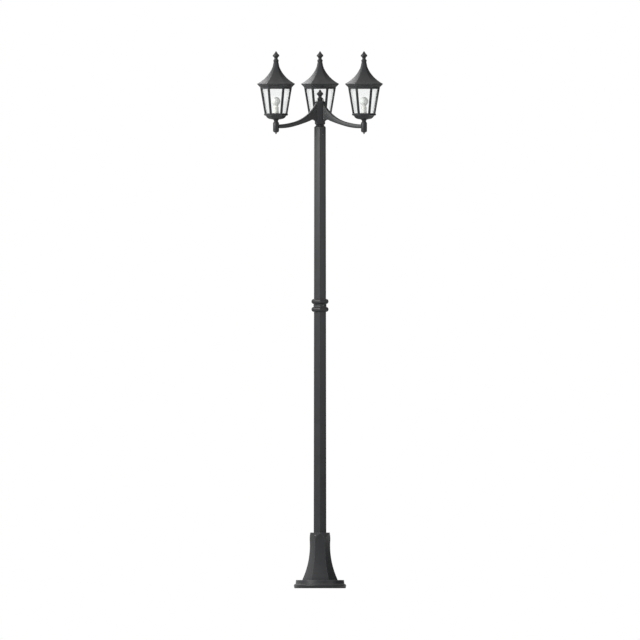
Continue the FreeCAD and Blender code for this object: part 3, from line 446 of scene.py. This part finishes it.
def makeGlass(name, settings):
    material, shader = newFinish(name, Metallic=0.0, Transmission_Weight=1.0, IOR=settings["index"])
    tint = settings["tint"]
    grain = addGroup(material, coatGrain, Scale=settings["waves"], Cloud=settings["cloud"])
    material.node_tree.links.new(mixColours(material, grain.outputs["Tone"], tint, (1.0, 1.0, 1.0)),
                                 shader.inputs["Base Color"])
    shader.inputs["Roughness"].default_value = settings["roughness"]
    addBump(material, shader, grain.outputs["Height"], settings["depth"], settings["waveHeight"])
    nodes, links = material.node_tree.nodes, material.node_tree.links
    rays = nodes.new("ShaderNodeLightPath")  # Daylight and lamplight pass the pane unbent and reach the bulb.
    passing = nodes.new("ShaderNodeMath")
    passing.operation = "MAXIMUM"
    clear = nodes.new("ShaderNodeBsdfTransparent")
    clear.inputs["Color"].default_value = (*tint, 1.0)
    mix = nodes.new("ShaderNodeMixShader")
    links.new(rays.outputs["Is Shadow Ray"], passing.inputs[0])
    links.new(rays.outputs["Is Diffuse Ray"], passing.inputs[1])
    links.new(passing.outputs["Value"], mix.inputs["Fac"])
    links.new(shader.outputs["BSDF"], mix.inputs[1])
    links.new(clear.outputs["BSDF"], mix.inputs[2])
    links.new(mix.outputs["Shader"], nodes["Material Output"].inputs["Surface"])
    return material


glass = {
    "tint": (0.975, 0.99, 0.985), "index": 1.45, "roughness": 0.0, "waves": 5.0, "cloud": 9.0,
    "depth": 0.012, "waveHeight": 0.0005,
}
paneGlass = makeGlass("paneGlass", glass)
opalGlass = grainedFinish("opalGlass", plain, (0.80, 0.795, 0.77), (0.77, 0.765, 0.74),
                          0.36, 200.0, 0.02, IOR=1.5)
print("finishes ready")

# Plinth: two round steps with a rolled lower edge

plinthSizes = {
    "footRadius": 162, "footInset": 1.5, "footChamfer": 2, "bulge": 3, "footRise": 27, "stepRadius": 154,
    "topRise": 52, "topRadius": 151, "opening": 62, "plateThickness": 7, "wall": 12, "sides": 144,
    "softEdge": 2.2,
}


def makePlinth(sizes):
    shoulder = sizes["footRadius"] + sizes["bulge"] - sizes["stepRadius"]
    inner = sizes["footRadius"] - sizes["wall"]
    rim = sizes["stepRadius"] - sizes["wall"]
    ceiling = sizes["topRise"] - sizes["plateThickness"]
    rings = profile([
        (inner, 0), (sizes["footRadius"] - sizes["footInset"], 0),
        (sizes["footRadius"], sizes["footChamfer"]),
        (sizes["footRadius"] + sizes["bulge"], sizes["footRise"] - shoulder, shoulder),
        (sizes["stepRadius"], sizes["footRise"]), (sizes["topRadius"], sizes["topRise"]),
        (sizes["opening"], sizes["topRise"]), (sizes["opening"], ceiling), (rim, ceiling),
        (rim, sizes["footRise"] / 2), (inner, sizes["footRise"] / 4), (inner, 0)], steps=10)
    piece = growRings(sizes["sides"], rings, closed=True)
    soften(piece, sizes["softEdge"], segments=3, angle=40)
    return dress(piece, "plinthCasting", "post", baseCoat, "black_coat", "plinth")


makePlinth(plinthSizes)

# Pedestal: a flared hexagon whose six faces end in pointed arches under a turned hexagon

pedestalSizes = {
    "bottom": 52, "footRise": 3, "bottomFlat": 96, "flareTop": 302, "flareFlat": 56.3, "sweep": 586,
    "shoulder": 346, "top": 351, "peakFlat": 71.4, "capitalFlat": 61.8, "capitalSweep": 100,
    "cornerSweep": 180, "poleOpening": 40.4, "softEdge": 1.6,
    "cutMargin": 10, "cutFlat": 150, "cutDrop": 60, "cutClearance": 0.05,
}
pedestalScrewSides = (0, 120, 240)
pedestalScrewHole = {"radius": 4.3, "depth": 12, "reach": 63.9, "level": 333}


def makePedestal(sizes):
    piece = growHexagon([
        (sizes["bottomFlat"], sizes["bottom"]),
        (sizes["bottomFlat"], sizes["bottom"] + sizes["footRise"], -sizes["sweep"]),
        (sizes["flareFlat"], sizes["flareTop"], -sizes["capitalSweep"]),
        (sizes["peakFlat"], sizes["shoulder"]), (sizes["peakFlat"], sizes["top"])], flatToFront, steps=14)
    # The turned hexagon that trims the capital's corners stands clear of the flare below.
    low, high = sizes["bottom"] - sizes["cutMargin"], sizes["top"] + sizes["cutMargin"]
    corner = sizes["flareFlat"] * toCorner
    facets = growHexagon([
        (sizes["cutFlat"], low), (sizes["cutFlat"], sizes["flareTop"] - sizes["cutDrop"]),
        (corner + sizes["cutClearance"], sizes["flareTop"], sizes["cornerSweep"]),
        (sizes["capitalFlat"], sizes["shoulder"]), (sizes["capitalFlat"], high)], cornerToFront, steps=8)
    carve(piece, facets, "INTERSECT")
    opening = growHexagon([(sizes["poleOpening"], low), (sizes["poleOpening"], high)], cornerToFront)
    carve(piece, opening, "DIFFERENCE")
    soften(piece, sizes["softEdge"], segments=3, angle=24)
    drill(piece, pedestalScrewSides, pedestalScrewHole)
    return dress(piece, "pedestalCasting", "post", baseCoat, "black_coat", "pedestal")


makePedestal(pedestalSizes)
print("base ready")

# Pole sections and the collar that covers their joint

poleSizes = {
    "foot": 12, "joint": 1767, "top": poleTop, "footFlat": 40.2, "jointFlat": 37.95, "topFlat": 36.5,
    "softEdge": 2.4,
}
columnScrewHole = {"radius": 2.8, "depth": 4, "reach": 36.6, "level": 2859}


def makePoles(sizes):
    spans = (("poleLowerTube", "pole_lower", "foot", "joint", "footFlat", "jointFlat"),
             ("poleUpperTube", "pole_upper", "joint", "top", "jointFlat", "topFlat"))
    for name, node, low, high, lowFlat, highFlat in spans:
        piece = growHexagon([(sizes[lowFlat], sizes[low]), (sizes[highFlat], sizes[high])], cornerToFront)
        pick(piece, "EDGE", lambda one, two: abs(one.z - two.z) > 0.5)  # the long arrises
        bpy.ops.mesh.bevel(offset=sizes["softEdge"] * mm, segments=4, affect="EDGES")
        bpy.ops.object.mode_set(mode="OBJECT")
        if high == "top":
            drill(piece, flatSides, columnScrewHole)
        shadeSmooth(piece)
        dress(piece, name, "post", tubeCoat, "black_coat", node)


makePoles(poleSizes)

collarSizes = {"foot": 1741, "rise": 82, "beadRise": 32, "beadFlat": 54, "neckFlat": 40.6, "softEdge": 1.5}


def makeCollar(sizes):
    depth = sizes["beadFlat"] - sizes["neckFlat"]
    bead = (sizes["beadRise"] ** 2 / 4 + depth ** 2) / (depth * 2)
    low = sizes["foot"]
    high = low + sizes["rise"]
    piece = growHexagon([
        (sizes["neckFlat"], low, bead), (sizes["neckFlat"], low + sizes["beadRise"]),
        (sizes["neckFlat"], high - sizes["beadRise"], bead), (sizes["neckFlat"], high)],
        cornerToFront, steps=14)
    soften(piece, sizes["softEdge"], segments=3, angle=25)
    return dress(piece, "midCollarCasting", "post", baseCoat, "black_coat", "mid_collar")


makeCollar(collarSizes)

# Head column with its flared foot

columnSizes = {
    "flareRise": 14, "flareTopFlat": 24, "flareFootFlat": 36.5, "footFlat": 22, "overlap": 4,
    "chamferRise": 8, "flat": 28.6, "shoulderFoot": 160, "shoulderTop": 170, "shoulderFlat": 16,
    "softEdge": 1.2,
}


def makeColumn(sizes):
    flareTop = poleTop + sizes["flareRise"]
    flare = growHexagon([
        (sizes["flareFootFlat"], poleTop), (sizes["flareTopFlat"], flareTop)], cornerToFront)
    shaft = growHexagon([
        (sizes["footFlat"], flareTop - sizes["overlap"]), (sizes["footFlat"], flareTop),
        (sizes["flat"], flareTop + sizes["chamferRise"]), (sizes["flat"], poleTop + sizes["shoulderFoot"]),
        (sizes["shoulderFlat"], poleTop + sizes["shoulderTop"])], flatToFront)
    carve(flare, shaft, "UNION")
    soften(flare, sizes["softEdge"], segments=3, angle=25)
    return dress(flare, "headColumnCasting", "post", castCoat, "black_coat", "head_column")


makeColumn(columnSizes)
print("pole ready")

# Finial: a turned drop on a dished collar, shared by the column and the roofs

finialSizes = {
    "foot": 17, "footStep": 2, "footRise": 16, "footBow": 9, "neck": 10.5, "neckRise": 23, "neckBow": 16,
    "band": 20.4, "bandLow": 36, "bandHigh": 45, "step": 12.5, "stepRise": 52, "tip": 2, "rise": 69,
    "lipRise": 0.8, "point": 0.3, "softEdge": 0.9,
}


def makeFinial(sizes):
    foot, step = sizes["foot"], sizes["footStep"]
    rings = profile([
        (foot - step, 0), (foot - step, sizes["lipRise"]), (foot, sizes["footRise"] * 0.4),
        (foot, sizes["footRise"] * 0.75), (foot - step * 1.5, sizes["footRise"], -sizes["footBow"]),
        (sizes["neck"], sizes["neckRise"], -sizes["neckBow"]), (sizes["band"], sizes["bandLow"]),
        (sizes["band"], sizes["bandHigh"]), (sizes["step"], sizes["stepRise"]),
        (sizes["tip"], sizes["rise"] - 1), (sizes["point"], sizes["rise"])])
    piece = growRings(roundSides, rings)
    soften(piece, sizes["softEdge"], segments=3, angle=24)
    return piece


finialModel = makeFinial(finialSizes)
dress(copied(finialModel, (0, 0, poleTop + columnSizes["shoulderTop"])), "headFinialCasting", "post",
      castCoat, "black_coat", "head_finial")

# Arms: a swept bracket with rounded edges, and the upright stem that carries a lantern

armSizes = {
    "root": 28.6, "rootLow": 27, "rootHigh": 152, "thickness": 24, "edge": 7,
    "humpReach": 72.8, "humpRise": 41.9, "humpSweep": -28.3, "lowKneeReach": 183.3, "lowKneeRise": 7.9,
    "lowSweeps": (996, 420), "tip": 301, "tipLow": -6, "tipHigh": 18,
    "topKneeReach": 171, "topKneeRise": 39.4, "topSweeps": (260, 520),
    "stemRadius": 19, "stemLow": -22, "stemHigh": 30, "stemSoftEdge": 1.2, "sunkInStem": 8,
    "stations": 34, "crowding": 1.35,
}


def heightAt(points, reach):
    for (near, low), (far, high) in zip(points, points[1:]):
        if near <= reach <= far:
            return low + (high - low) * (reach - near) / (far - near)
    return points[-1][1] if reach > points[-1][0] else points[0][1]


def makeArm(sizes):
    root = sizes["root"]
    under = profile([
        (root, sizes["rootLow"], sizes["humpSweep"]),
        (sizes["humpReach"], sizes["humpRise"], sizes["lowSweeps"][0]),
        (sizes["lowKneeReach"], sizes["lowKneeRise"], sizes["lowSweeps"][1]),
        (sizes["tip"], sizes["tipLow"])], steps=24)
    over = profile([
        (root, sizes["rootHigh"], sizes["topSweeps"][0]),
        (sizes["topKneeReach"], sizes["topKneeRise"], sizes["topSweeps"][1]),
        (sizes["tip"], sizes["tipHigh"])], steps=24)
    length = sizes["tip"] + sizes["sunkInStem"] - root
    reaches = [root + length * (step / sizes["stations"]) ** sizes["crowding"]
               for step in range(sizes["stations"] + 1)]
    low, high = heightAt(under, root), heightAt(over, root)
    clearSelection()
    bpy.ops.mesh.primitive_plane_add(
        size=1, location=(root * mm, 0, (poleTop + (low + high) / 2) * mm), rotation=(0, math.radians(90), 0))
    piece = bpy.context.object
    piece.scale = ((high - low) * mm, sizes["thickness"] * mm, 1)
    bpy.ops.object.transform_apply(location=True, rotation=True, scale=True)
    bpy.ops.object.mode_set(mode="EDIT")
    bpy.ops.mesh.select_all(action="SELECT")
    for near, far in zip(reaches, reaches[1:]):
        nextLow, nextHigh = heightAt(under, far), heightAt(over, far)
        middle, nextMiddle = (low + high) / 2, (nextLow + nextHigh) / 2
        bpy.ops.mesh.extrude_region_move(
            TRANSFORM_OT_translate={"value": ((far - near) * mm, 0, (nextMiddle - middle) * mm)})
        bpy.ops.transform.resize(value=(1, 1, (nextHigh - nextLow) / (high - low)),
                                 center_override=(far * mm, 0, (poleTop + nextMiddle) * mm))
        low, high = nextLow, nextHigh
    bpy.ops.mesh.select_all(action="SELECT")
    bpy.ops.mesh.normals_make_consistent(inside=False)
    hair = 0.0001
    pick(piece, "EDGE", lambda one, two: abs(one.x - two.x) > hair and abs(abs(one.y) - abs(two.y)) < hair)
    bpy.ops.mesh.bevel(offset=sizes["edge"] * mm, segments=5, affect="EDGES", clamp_overlap=True)
    bpy.ops.object.mode_set(mode="OBJECT")
    stem = growRings(roundSides, profile([
        (sizes["stemRadius"], poleTop + sizes["stemLow"]),
        (sizes["stemRadius"], poleTop + sizes["stemHigh"])]))
    soften(stem, sizes["stemSoftEdge"], segments=3)
    moved(stem, (armReach, 0, 0))
    piece = joined([piece, stem])
    shadeSmooth(piece, 40)
    return piece


armModel = makeArm(armSizes)

capSizes = {
    "rim": 19, "rimRise": 3, "dome": 4, "domeDepth": 12, "domeSweep": -22, "knob": 5, "knobRise": 4.5,
    "knobDepth": 21, "point": 0.4, "top": 2882, "softEdge": 0.6,
}


def makeArmCap(sizes):
    top, knob = sizes["top"], sizes["knob"]
    knobFoot = top - sizes["knobDepth"]
    rings = profile([
        (sizes["point"], knobFoot, knob * 1.2), (knob, knobFoot + sizes["knobRise"]),
        (sizes["dome"], top - sizes["domeDepth"], -sizes["domeSweep"]),
        (sizes["rim"], top - sizes["rimRise"]), (sizes["rim"], top)])
    piece = growRings(roundSides, rings)
    soften(piece, sizes["softEdge"], segments=2, angle=30)
    return moved(piece, (armReach, 0, 0))


capModel = makeArmCap(capSizes)
for side, heading in armTurns.items():
    dress(copied(armModel, turn=heading), f"armCasting_{side}", "post", castCoat, "black_coat",
          f"arm_{side}")
    dress(copied(capModel, turn=heading), f"armCapCasting_{side}", "post", castCoat, "black_coat",
          f"arm_cap_{side}")
print("arms ready")

# Lantern pieces, modelled once about their own axis with the stem's top at zero

bowlSizes = {
    "seatRadius": 20, "neckRise": 18.6, "flat": 38, "bottomRise": 23.1, "bow": 30, "waistFlat": 54, "lip": 39,
    "lipBow": -14, "top": 45, "topFlat": 63.5, "neckFoot": 16, "neckFootRise": 3, "neckRadius": 13,
    "footSweep": -8, "topSweep": -12, "seatOverlap": 1.5, "softEdge": 1.2, "neckSoftEdge": 0.5,
}


def makeBowl(sizes):
    piece = growHexagon([
        (sizes["seatRadius"] / toCorner, sizes["neckRise"]),
        (sizes["flat"], sizes["bottomRise"], sizes["bow"]),
        (sizes["waistFlat"], sizes["lip"], sizes["lipBow"]),
        (sizes["topFlat"], sizes["top"])], flatToFront, steps=8)
    soften(piece, sizes["softEdge"], segments=3, angle=26)
    neck = growRings(roundSides, profile([
        (sizes["neckFoot"], 0), (sizes["neckFoot"], sizes["neckFootRise"], sizes["footSweep"]),
        (sizes["neckRadius"], sizes["neckRise"] / 2, sizes["topSweep"]),
        (sizes["seatRadius"], sizes["neckRise"]),
        (sizes["seatRadius"], sizes["neckRise"] + sizes["seatOverlap"])], steps=7))
    soften(neck, sizes["neckSoftEdge"], segments=2, angle=30)
    return joined([piece, neck])


cageSizes = {
    "low": 47.5, "high": 221, "lowFlat": 61.8, "highFlat": 87.3, "bar": 9.5, "wall": 10, "softEdge": 1.2,
    "ringFlat": 65.4, "ringLow": 45, "ringHigh": 57, "ringInner": 39.5, "ringStep": 1.4, "ringSoftEdge": 0.5,
}


def makeCage(sizes):
    bars = growHexagon([(sizes["lowFlat"], sizes["low"]), (sizes["highFlat"], sizes["high"])], flatToFront)
    pick(bars, "FACE", lambda middle, normal: abs(normal.z) > 0.9)
    bpy.ops.mesh.delete(type="ONLY_FACE")
    bpy.ops.mesh.select_all(action="SELECT")
    bpy.ops.mesh.inset(thickness=sizes["bar"] * mm, use_individual=True, use_boundary=True)
    bpy.ops.mesh.delete(type="FACE")
    bpy.ops.object.mode_set(mode="OBJECT")
    useModifier(bars, "SOLIDIFY", thickness=sizes["wall"] * mm, offset=-1.0, use_even_offset=True)
    soften(bars, sizes["softEdge"], segments=2, angle=28)
    flat, step = sizes["ringFlat"], sizes["ringStep"]
    ring = growHexagon([
        (sizes["ringInner"], sizes["ringLow"]), (flat - step, sizes["ringLow"]),
        (flat, sizes["ringLow"] + step), (flat, sizes["ringHigh"] - step * 2),
        (flat - step, sizes["ringHigh"]), (sizes["ringInner"], sizes["ringHigh"]),
        (sizes["ringInner"], sizes["ringLow"])], flatToFront, closed=True)
    soften(ring, sizes["ringSoftEdge"], segments=2, angle=28)
    return joined([bars, ring])


corniceSizes = {
    "low": 221, "high": 242, "lowFlat": 87.3, "highFlat": 102, "opening": 79, "steps": 5, "slant": 0.7,
    "softEdge": 0.5,
}
corniceScrewHole = {"radius": 2.7, "depth": 10, "reach": 102, "level": 237}


def makeCornice(sizes):
    rise = (sizes["high"] - sizes["low"]) / (sizes["steps"] + 1)
    tread = (sizes["highFlat"] - sizes["lowFlat"]) / sizes["steps"]
    corners = [(sizes["opening"], sizes["low"]), (sizes["lowFlat"], sizes["low"])]
    for number in range(sizes["steps"]):
        level = sizes["low"] + rise * (number + 1)
        flat = sizes["lowFlat"] + tread * number
        corners += [(flat, level - sizes["slant"]), (flat + tread, level + sizes["slant"])]
    corners += [(sizes["highFlat"], sizes["high"]), (sizes["opening"], sizes["high"]),
                (sizes["opening"], sizes["low"])]
    piece = growHexagon(corners, flatToFront, closed=True)
    soften(piece, sizes["softEdge"], segments=2, angle=26)
    drill(piece, armTurns.values(), corniceScrewHole)
    return piece


roofSizes = {
    "low": 242, "edgeFlat": 103.7, "edgeRise": 2.5, "sweep": -198.6, "neckFlat": 18.4, "neckRise": 352,
    "topFlat": 13.5, "top": 381, "wall": 4, "skirtFlat": 78.2, "skirtWall": 4, "skirtLow": 232,
    "bore": 4, "hollowTop": 338, "hollowTopCorner": 18, "hollowShoulder": 258, "softEdge": 1.0,
}


def makeRoof(sizes):
    inner = sizes["skirtFlat"] - sizes["skirtWall"]
    piece = growHexagon([
        (sizes["skirtFlat"], sizes["low"]), (sizes["edgeFlat"], sizes["low"]),
        (sizes["edgeFlat"], sizes["low"] + sizes["edgeRise"], sizes["sweep"]),
        (sizes["neckFlat"], sizes["neckRise"]), (sizes["topFlat"], sizes["top"]),
        (sizes["bore"], sizes["top"]), (sizes["bore"], sizes["hollowTop"]),
        (sizes["hollowTopCorner"] / toCorner, sizes["hollowTop"], sizes["wall"] - sizes["sweep"]),
        (inner, sizes["hollowShoulder"]), (inner, sizes["skirtLow"]),
        (sizes["skirtFlat"], sizes["skirtLow"]), (sizes["skirtFlat"], sizes["low"])],
        flatToFront, steps=16, closed=True)
    soften(piece, sizes["softEdge"], segments=3, angle=26)
    return piece


holderSizes = {
    "radius": 18, "foot": 59, "rise": 38.5, "groove": 1.2, "footRise": 10, "rimRise": 4, "slope": 2,
    "socket": 13.6, "floor": 68, "bore": 5.05, "chamfer": 0.6, "softEdge": 0.5,
}


def makeHolder(sizes):
    foot, chamfer = sizes["foot"], sizes["chamfer"]
    top = foot + sizes["rise"]
    waist = sizes["radius"] - sizes["groove"]
    piece = growRings(roundSides, profile([
        (sizes["bore"], foot), (sizes["radius"] - chamfer, foot), (sizes["radius"], foot + chamfer),
        (sizes["radius"], foot + sizes["footRise"]), (waist, foot + sizes["footRise"] + sizes["slope"]),
        (waist, top - sizes["rimRise"] - sizes["slope"]), (sizes["radius"], top - sizes["rimRise"]),
        (sizes["radius"], top), (sizes["socket"], top), (sizes["socket"], sizes["floor"]),
        (sizes["bore"], sizes["floor"]), (sizes["bore"], foot)]), closed=True)
    soften(piece, sizes["softEdge"], segments=2, angle=26)
    return piece


bulbSizes = {
    "tip": 68.3, "tipRadius": 4, "tipRise": 2, "capRadius": 13.2, "capTop": 100.3, "taperRise": 6,
    "pitch": 3.6, "threadDepth": 0.9, "threadSteps": 8, "collarRise": 3.2,
    "radius": 27.5, "centre": 134, "point": 0.4, "shoulderAngle": 38, "neckInset": 0.5, "neckRise": 3,
    "neckSweep": -40, "glassSides": 72,
}


def makeBulbCap(sizes):
    rings = [(sizes["tipRadius"] * 0.6, sizes["tip"]), (sizes["tipRadius"], sizes["tip"] + 0.8),
             (sizes["tipRadius"] + 0.3, sizes["tip"] + sizes["tipRise"]),
             (sizes["capRadius"] - 3, sizes["tip"] + sizes["tipRise"] + 3)]
    low = sizes["tip"] + sizes["tipRise"] + sizes["taperRise"]
    count = sizes["threadSteps"]
    turns = int((sizes["capTop"] - sizes["collarRise"] - low) / sizes["pitch"])
    for step in range(turns * count + 1):
        wave = math.cos(step / count * 2 * math.pi)
        rings.append((sizes["capRadius"] - sizes["threadDepth"] * (0.5 + wave / 2),
                      low + step / count * sizes["pitch"]))
    rings += [(sizes["capRadius"] - 0.2, sizes["capTop"] - 1.2), (sizes["capRadius"], sizes["capTop"] - 0.6),
              (sizes["capRadius"] - 0.3, sizes["capTop"])]
    piece = growRings(roundSides, rings)
    shadeSmooth(piece, 50)
    return piece


def makeBulbGlass(sizes):
    angle = math.radians(sizes["shoulderAngle"])
    neck = sizes["capRadius"] - sizes["neckInset"]
    shoulder = (sizes["radius"] * math.cos(angle), sizes["centre"] - sizes["radius"] * math.sin(angle))
    piece = growRings(sizes["glassSides"], profile([
        (neck, sizes["capTop"]), (neck, sizes["capTop"] + sizes["neckRise"], sizes["neckSweep"]),
        (*shoulder, sizes["radius"]), (sizes["point"], sizes["centre"] + sizes["radius"])], steps=28))
    shadeSmooth(piece, 50)
    return piece


lanternPieces = (
    (makeBowl(bowlSizes), "bowlCasting", "post", castCoat, "black_coat", "bowl"),
    (makeCage(cageSizes), "cageCasting", "post", castCoat, "black_coat", "cage"),
    (makeCornice(corniceSizes), "corniceCasting", "post", castCoat, "black_coat", "cornice"),
    (makeHolder(holderSizes), "lampHolderBody", "post", porcelain, "porcelain", "lamp_holder"),
    (makeRoof(roofSizes), "roofCasting", "roof", castCoat, "black_coat", "roof"),
    (moved(finialModel, (0, 0, roofSizes["top"])), "roofFinialCasting", "roof", castCoat, "black_coat",
     "finial"),
    (makeBulbCap(bulbSizes), "bulbScrewCap", "bulb", capNickel, "cap_metal", "bulb_cap"),
    (makeBulbGlass(bulbSizes), "bulbGlobe", "bulb", opalGlass, "bulb_glass", "bulb_glass"),
)
for side in armTurns:
    for model, name, body, material, slotName, node in lanternPieces:
        rider = body if body == "post" else f"{body}_{side}"
        dress(copied(model, lanternShift(side)), f"{name}_{side}", rider, material, slotName,
              f"lantern_{side}_{node}")
for model, *_ in lanternPieces:
    bpy.data.objects.remove(model)
for model in (armModel, capModel):
    bpy.data.objects.remove(model)
print("lanterns ready")

# Socket screws: one model, laid out as the solids have them

screwSizes = {"length": 5, "key": 0.52, "keyDepth": 2.2, "chamfer": 0.35, "sides": 32}
pedestalScrews = {"radius": 4, "reach": 61.8, "level": 333}
collarScrews = {"radius": 2.5, "reach": 41.6, "level": 1782}
columnScrews = {"radius": 2.5, "reach": 35.6, "level": 2859}
roofScrews = {"radius": 2.5, "reach": 97, "level": 237}


def makeScrew(radius, sizes):
    # Its head looks along +Z and its face is at zero.
    chamfer, keyRadius = sizes["chamfer"], radius * sizes["key"]
    body = growRings(sizes["sides"], [(radius, -sizes["length"]), (radius, -chamfer), (radius - chamfer, 0)])
    carve(body, growRings(hexagon, [(keyRadius, -sizes["keyDepth"]), (keyRadius, 1)]), "DIFFERENCE")
    shadeSmooth(body, 30)
    return body


def layScrews(name, node, screws, headings, axes=((0, 0, 0),)):
    # A ring of screws about each axis, with the faces of their heads at that reach from it.
    model = makeScrew(screws["radius"], screwSizes)
    heads = []
    for across, along, up in axes:
        for heading in headings:
            angle = math.radians(heading)
            face = (across + screws["reach"] * math.cos(angle), along + screws["reach"] * math.sin(angle),
                    up + screws["level"])
            heads.append(copied(model, face, heading, 90))
    bpy.data.objects.remove(model)
    dress(joined(heads), name, "post", zincSteel, "zinc_steel", node)


layScrews("pedestalSetScrews", "pedestal_screws", pedestalScrews, pedestalScrewSides)
layScrews("collarSetScrews", "collar_screws", collarScrews, flatSides)
layScrews("columnSetScrews", "column_screws", columnScrews, flatSides)
layScrews("roofSetScrews", "roof_screws", roofScrews, armTurns.values(),
          [lanternShift(side) for side in armTurns])

# Finishes of the solids that stay

nodeFinishes = {"base_plate": galvanisedSteel, "terminal_box": terminalGrey, "terminal_box_lid": terminalGrey,
                "earth_stud": earthBrass, "pole_joint_sleeve": millAluminium, "pole_joint_screws": zincSteel,
                "lantern_lock_nuts": zincSteel}
for side in armTurns:
    nodeFinishes[f"lantern_{side}_glass_panes"] = paneGlass
    nodeFinishes[f"lantern_{side}_tray"] = castCoat
    nodeFinishes[f"lantern_{side}_nipple"] = zincSteel
for node, material in nodeFinishes.items():
    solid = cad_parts[node]
    if not solid.material_slots:
        solid.data.materials.append(material)
    for slotOfNode in solid.material_slots:
        slotOfNode.material = material
print("screws and solids ready")

# Floor, light and camera

studio = {
    "floorSize": 40.0, "floorLevel": -0.0006, "floorColour": (0.80, 0.80, 0.79), "skyLight": 0.55,
    "brightSide": (-0.82, -0.25, 0.52), "roomTones": (-0.75, 0.85, 0.08, 1.15),
    "cameraHeight": 1.690, "cameraReach": 8, "frameHeight": 4.032,
}
# Each panel's place, the point it looks at, its width and length, and its energy.
panels = {
    "keyPanel": ((-3.8, -3.0, 4.4), (0, 0, 1.7), (2.4, 3.6), 280),
    "fillPanel": ((4.4, -3.0, 2.6), (0, 0, 1.7), (2.0, 3.0), 40),
    "backPanel": ((-1.8, 4.4, 4.6), (0, 0, 2.0), (2.5, 2.5), 60),
}
clearSelection()
bpy.ops.mesh.primitive_plane_add(size=studio["floorSize"], location=(0, 0, studio["floorLevel"]))
floor = bpy.context.object
floor.name = "floor"
floorFinish, floorShader = newFinish("floorFinish", Roughness=0.9)
floorShader.inputs["Base Color"].default_value = (*studio["floorColour"], 1.0)
floor.data.materials.append(floorFinish)

world = bpy.data.worlds.new("studio")
bpy.context.scene.world = world
world.use_nodes = True
nodes, links = world.node_tree.nodes, world.node_tree.links
background = nodes["Background"]
background.inputs["Color"].default_value = (1.0, 1.0, 1.0, 1.0)
rays = nodes.new("ShaderNodeLightPath")
heading = nodes.new("ShaderNodeTexCoord")
facing = nodes.new("ShaderNodeVectorMath")  # Gloss sees a paler room at the left and above.
facing.operation = "DOT_PRODUCT"
facing.inputs[1].default_value = studio["brightSide"]
links.new(heading.outputs["Generated"], facing.inputs[0])
room = nodes.new("ShaderNodeMapRange")
room.interpolation_type = "SMOOTHSTEP"
setRange(room, studio["roomTones"])
links.new(facing.outputs["Value"], room.inputs["Value"])
levels = []
for ray, low, high in (("Is Glossy Ray", studio["skyLight"], room.outputs["Result"]),
                       ("Is Camera Ray", None, 1.0), ("Is Transmission Ray", None, 1.0)):
    mix = nodes.new("ShaderNodeMix")
    links.new(rays.outputs[ray], mix.inputs[0])
    if levels:
        links.new(levels[-1], mix.inputs[2])
        mix.inputs[3].default_value = high
    else:
        mix.inputs[2].default_value = low
        links.new(high, mix.inputs[3])
    levels.append(mix.outputs[0])
links.new(levels[-1], background.inputs["Strength"])


def addPanel(name, spot, target, size, energy):
    clearSelection()
    bpy.ops.object.light_add(type="AREA", location=spot)
    lamp = bpy.context.object
    lamp.name = name
    lamp.data.shape = "RECTANGLE"
    lamp.data.size, lamp.data.size_y = size
    lamp.data.energy = energy
    lamp.visible_transmission = False  # Seen through the panes, a panel would only speckle the bulbs.
    lamp.rotation_euler = (Vector(target) - Vector(spot)).to_track_quat("-Z", "Y").to_euler()


for panel, values in panels.items():
    addPanel(panel, *values)

clearSelection()
bpy.ops.object.camera_add(location=(0, -studio["cameraReach"], studio["cameraHeight"]),
                          rotation=(math.radians(90), 0, 0))
camera = bpy.context.object
camera.data.type = "ORTHO"
camera.data.ortho_scale = studio["frameHeight"]
camera.data.clip_end = 100
bpy.context.scene.camera = camera
bpy.context.scene.view_settings.view_transform = "Standard"
print("studio ready")
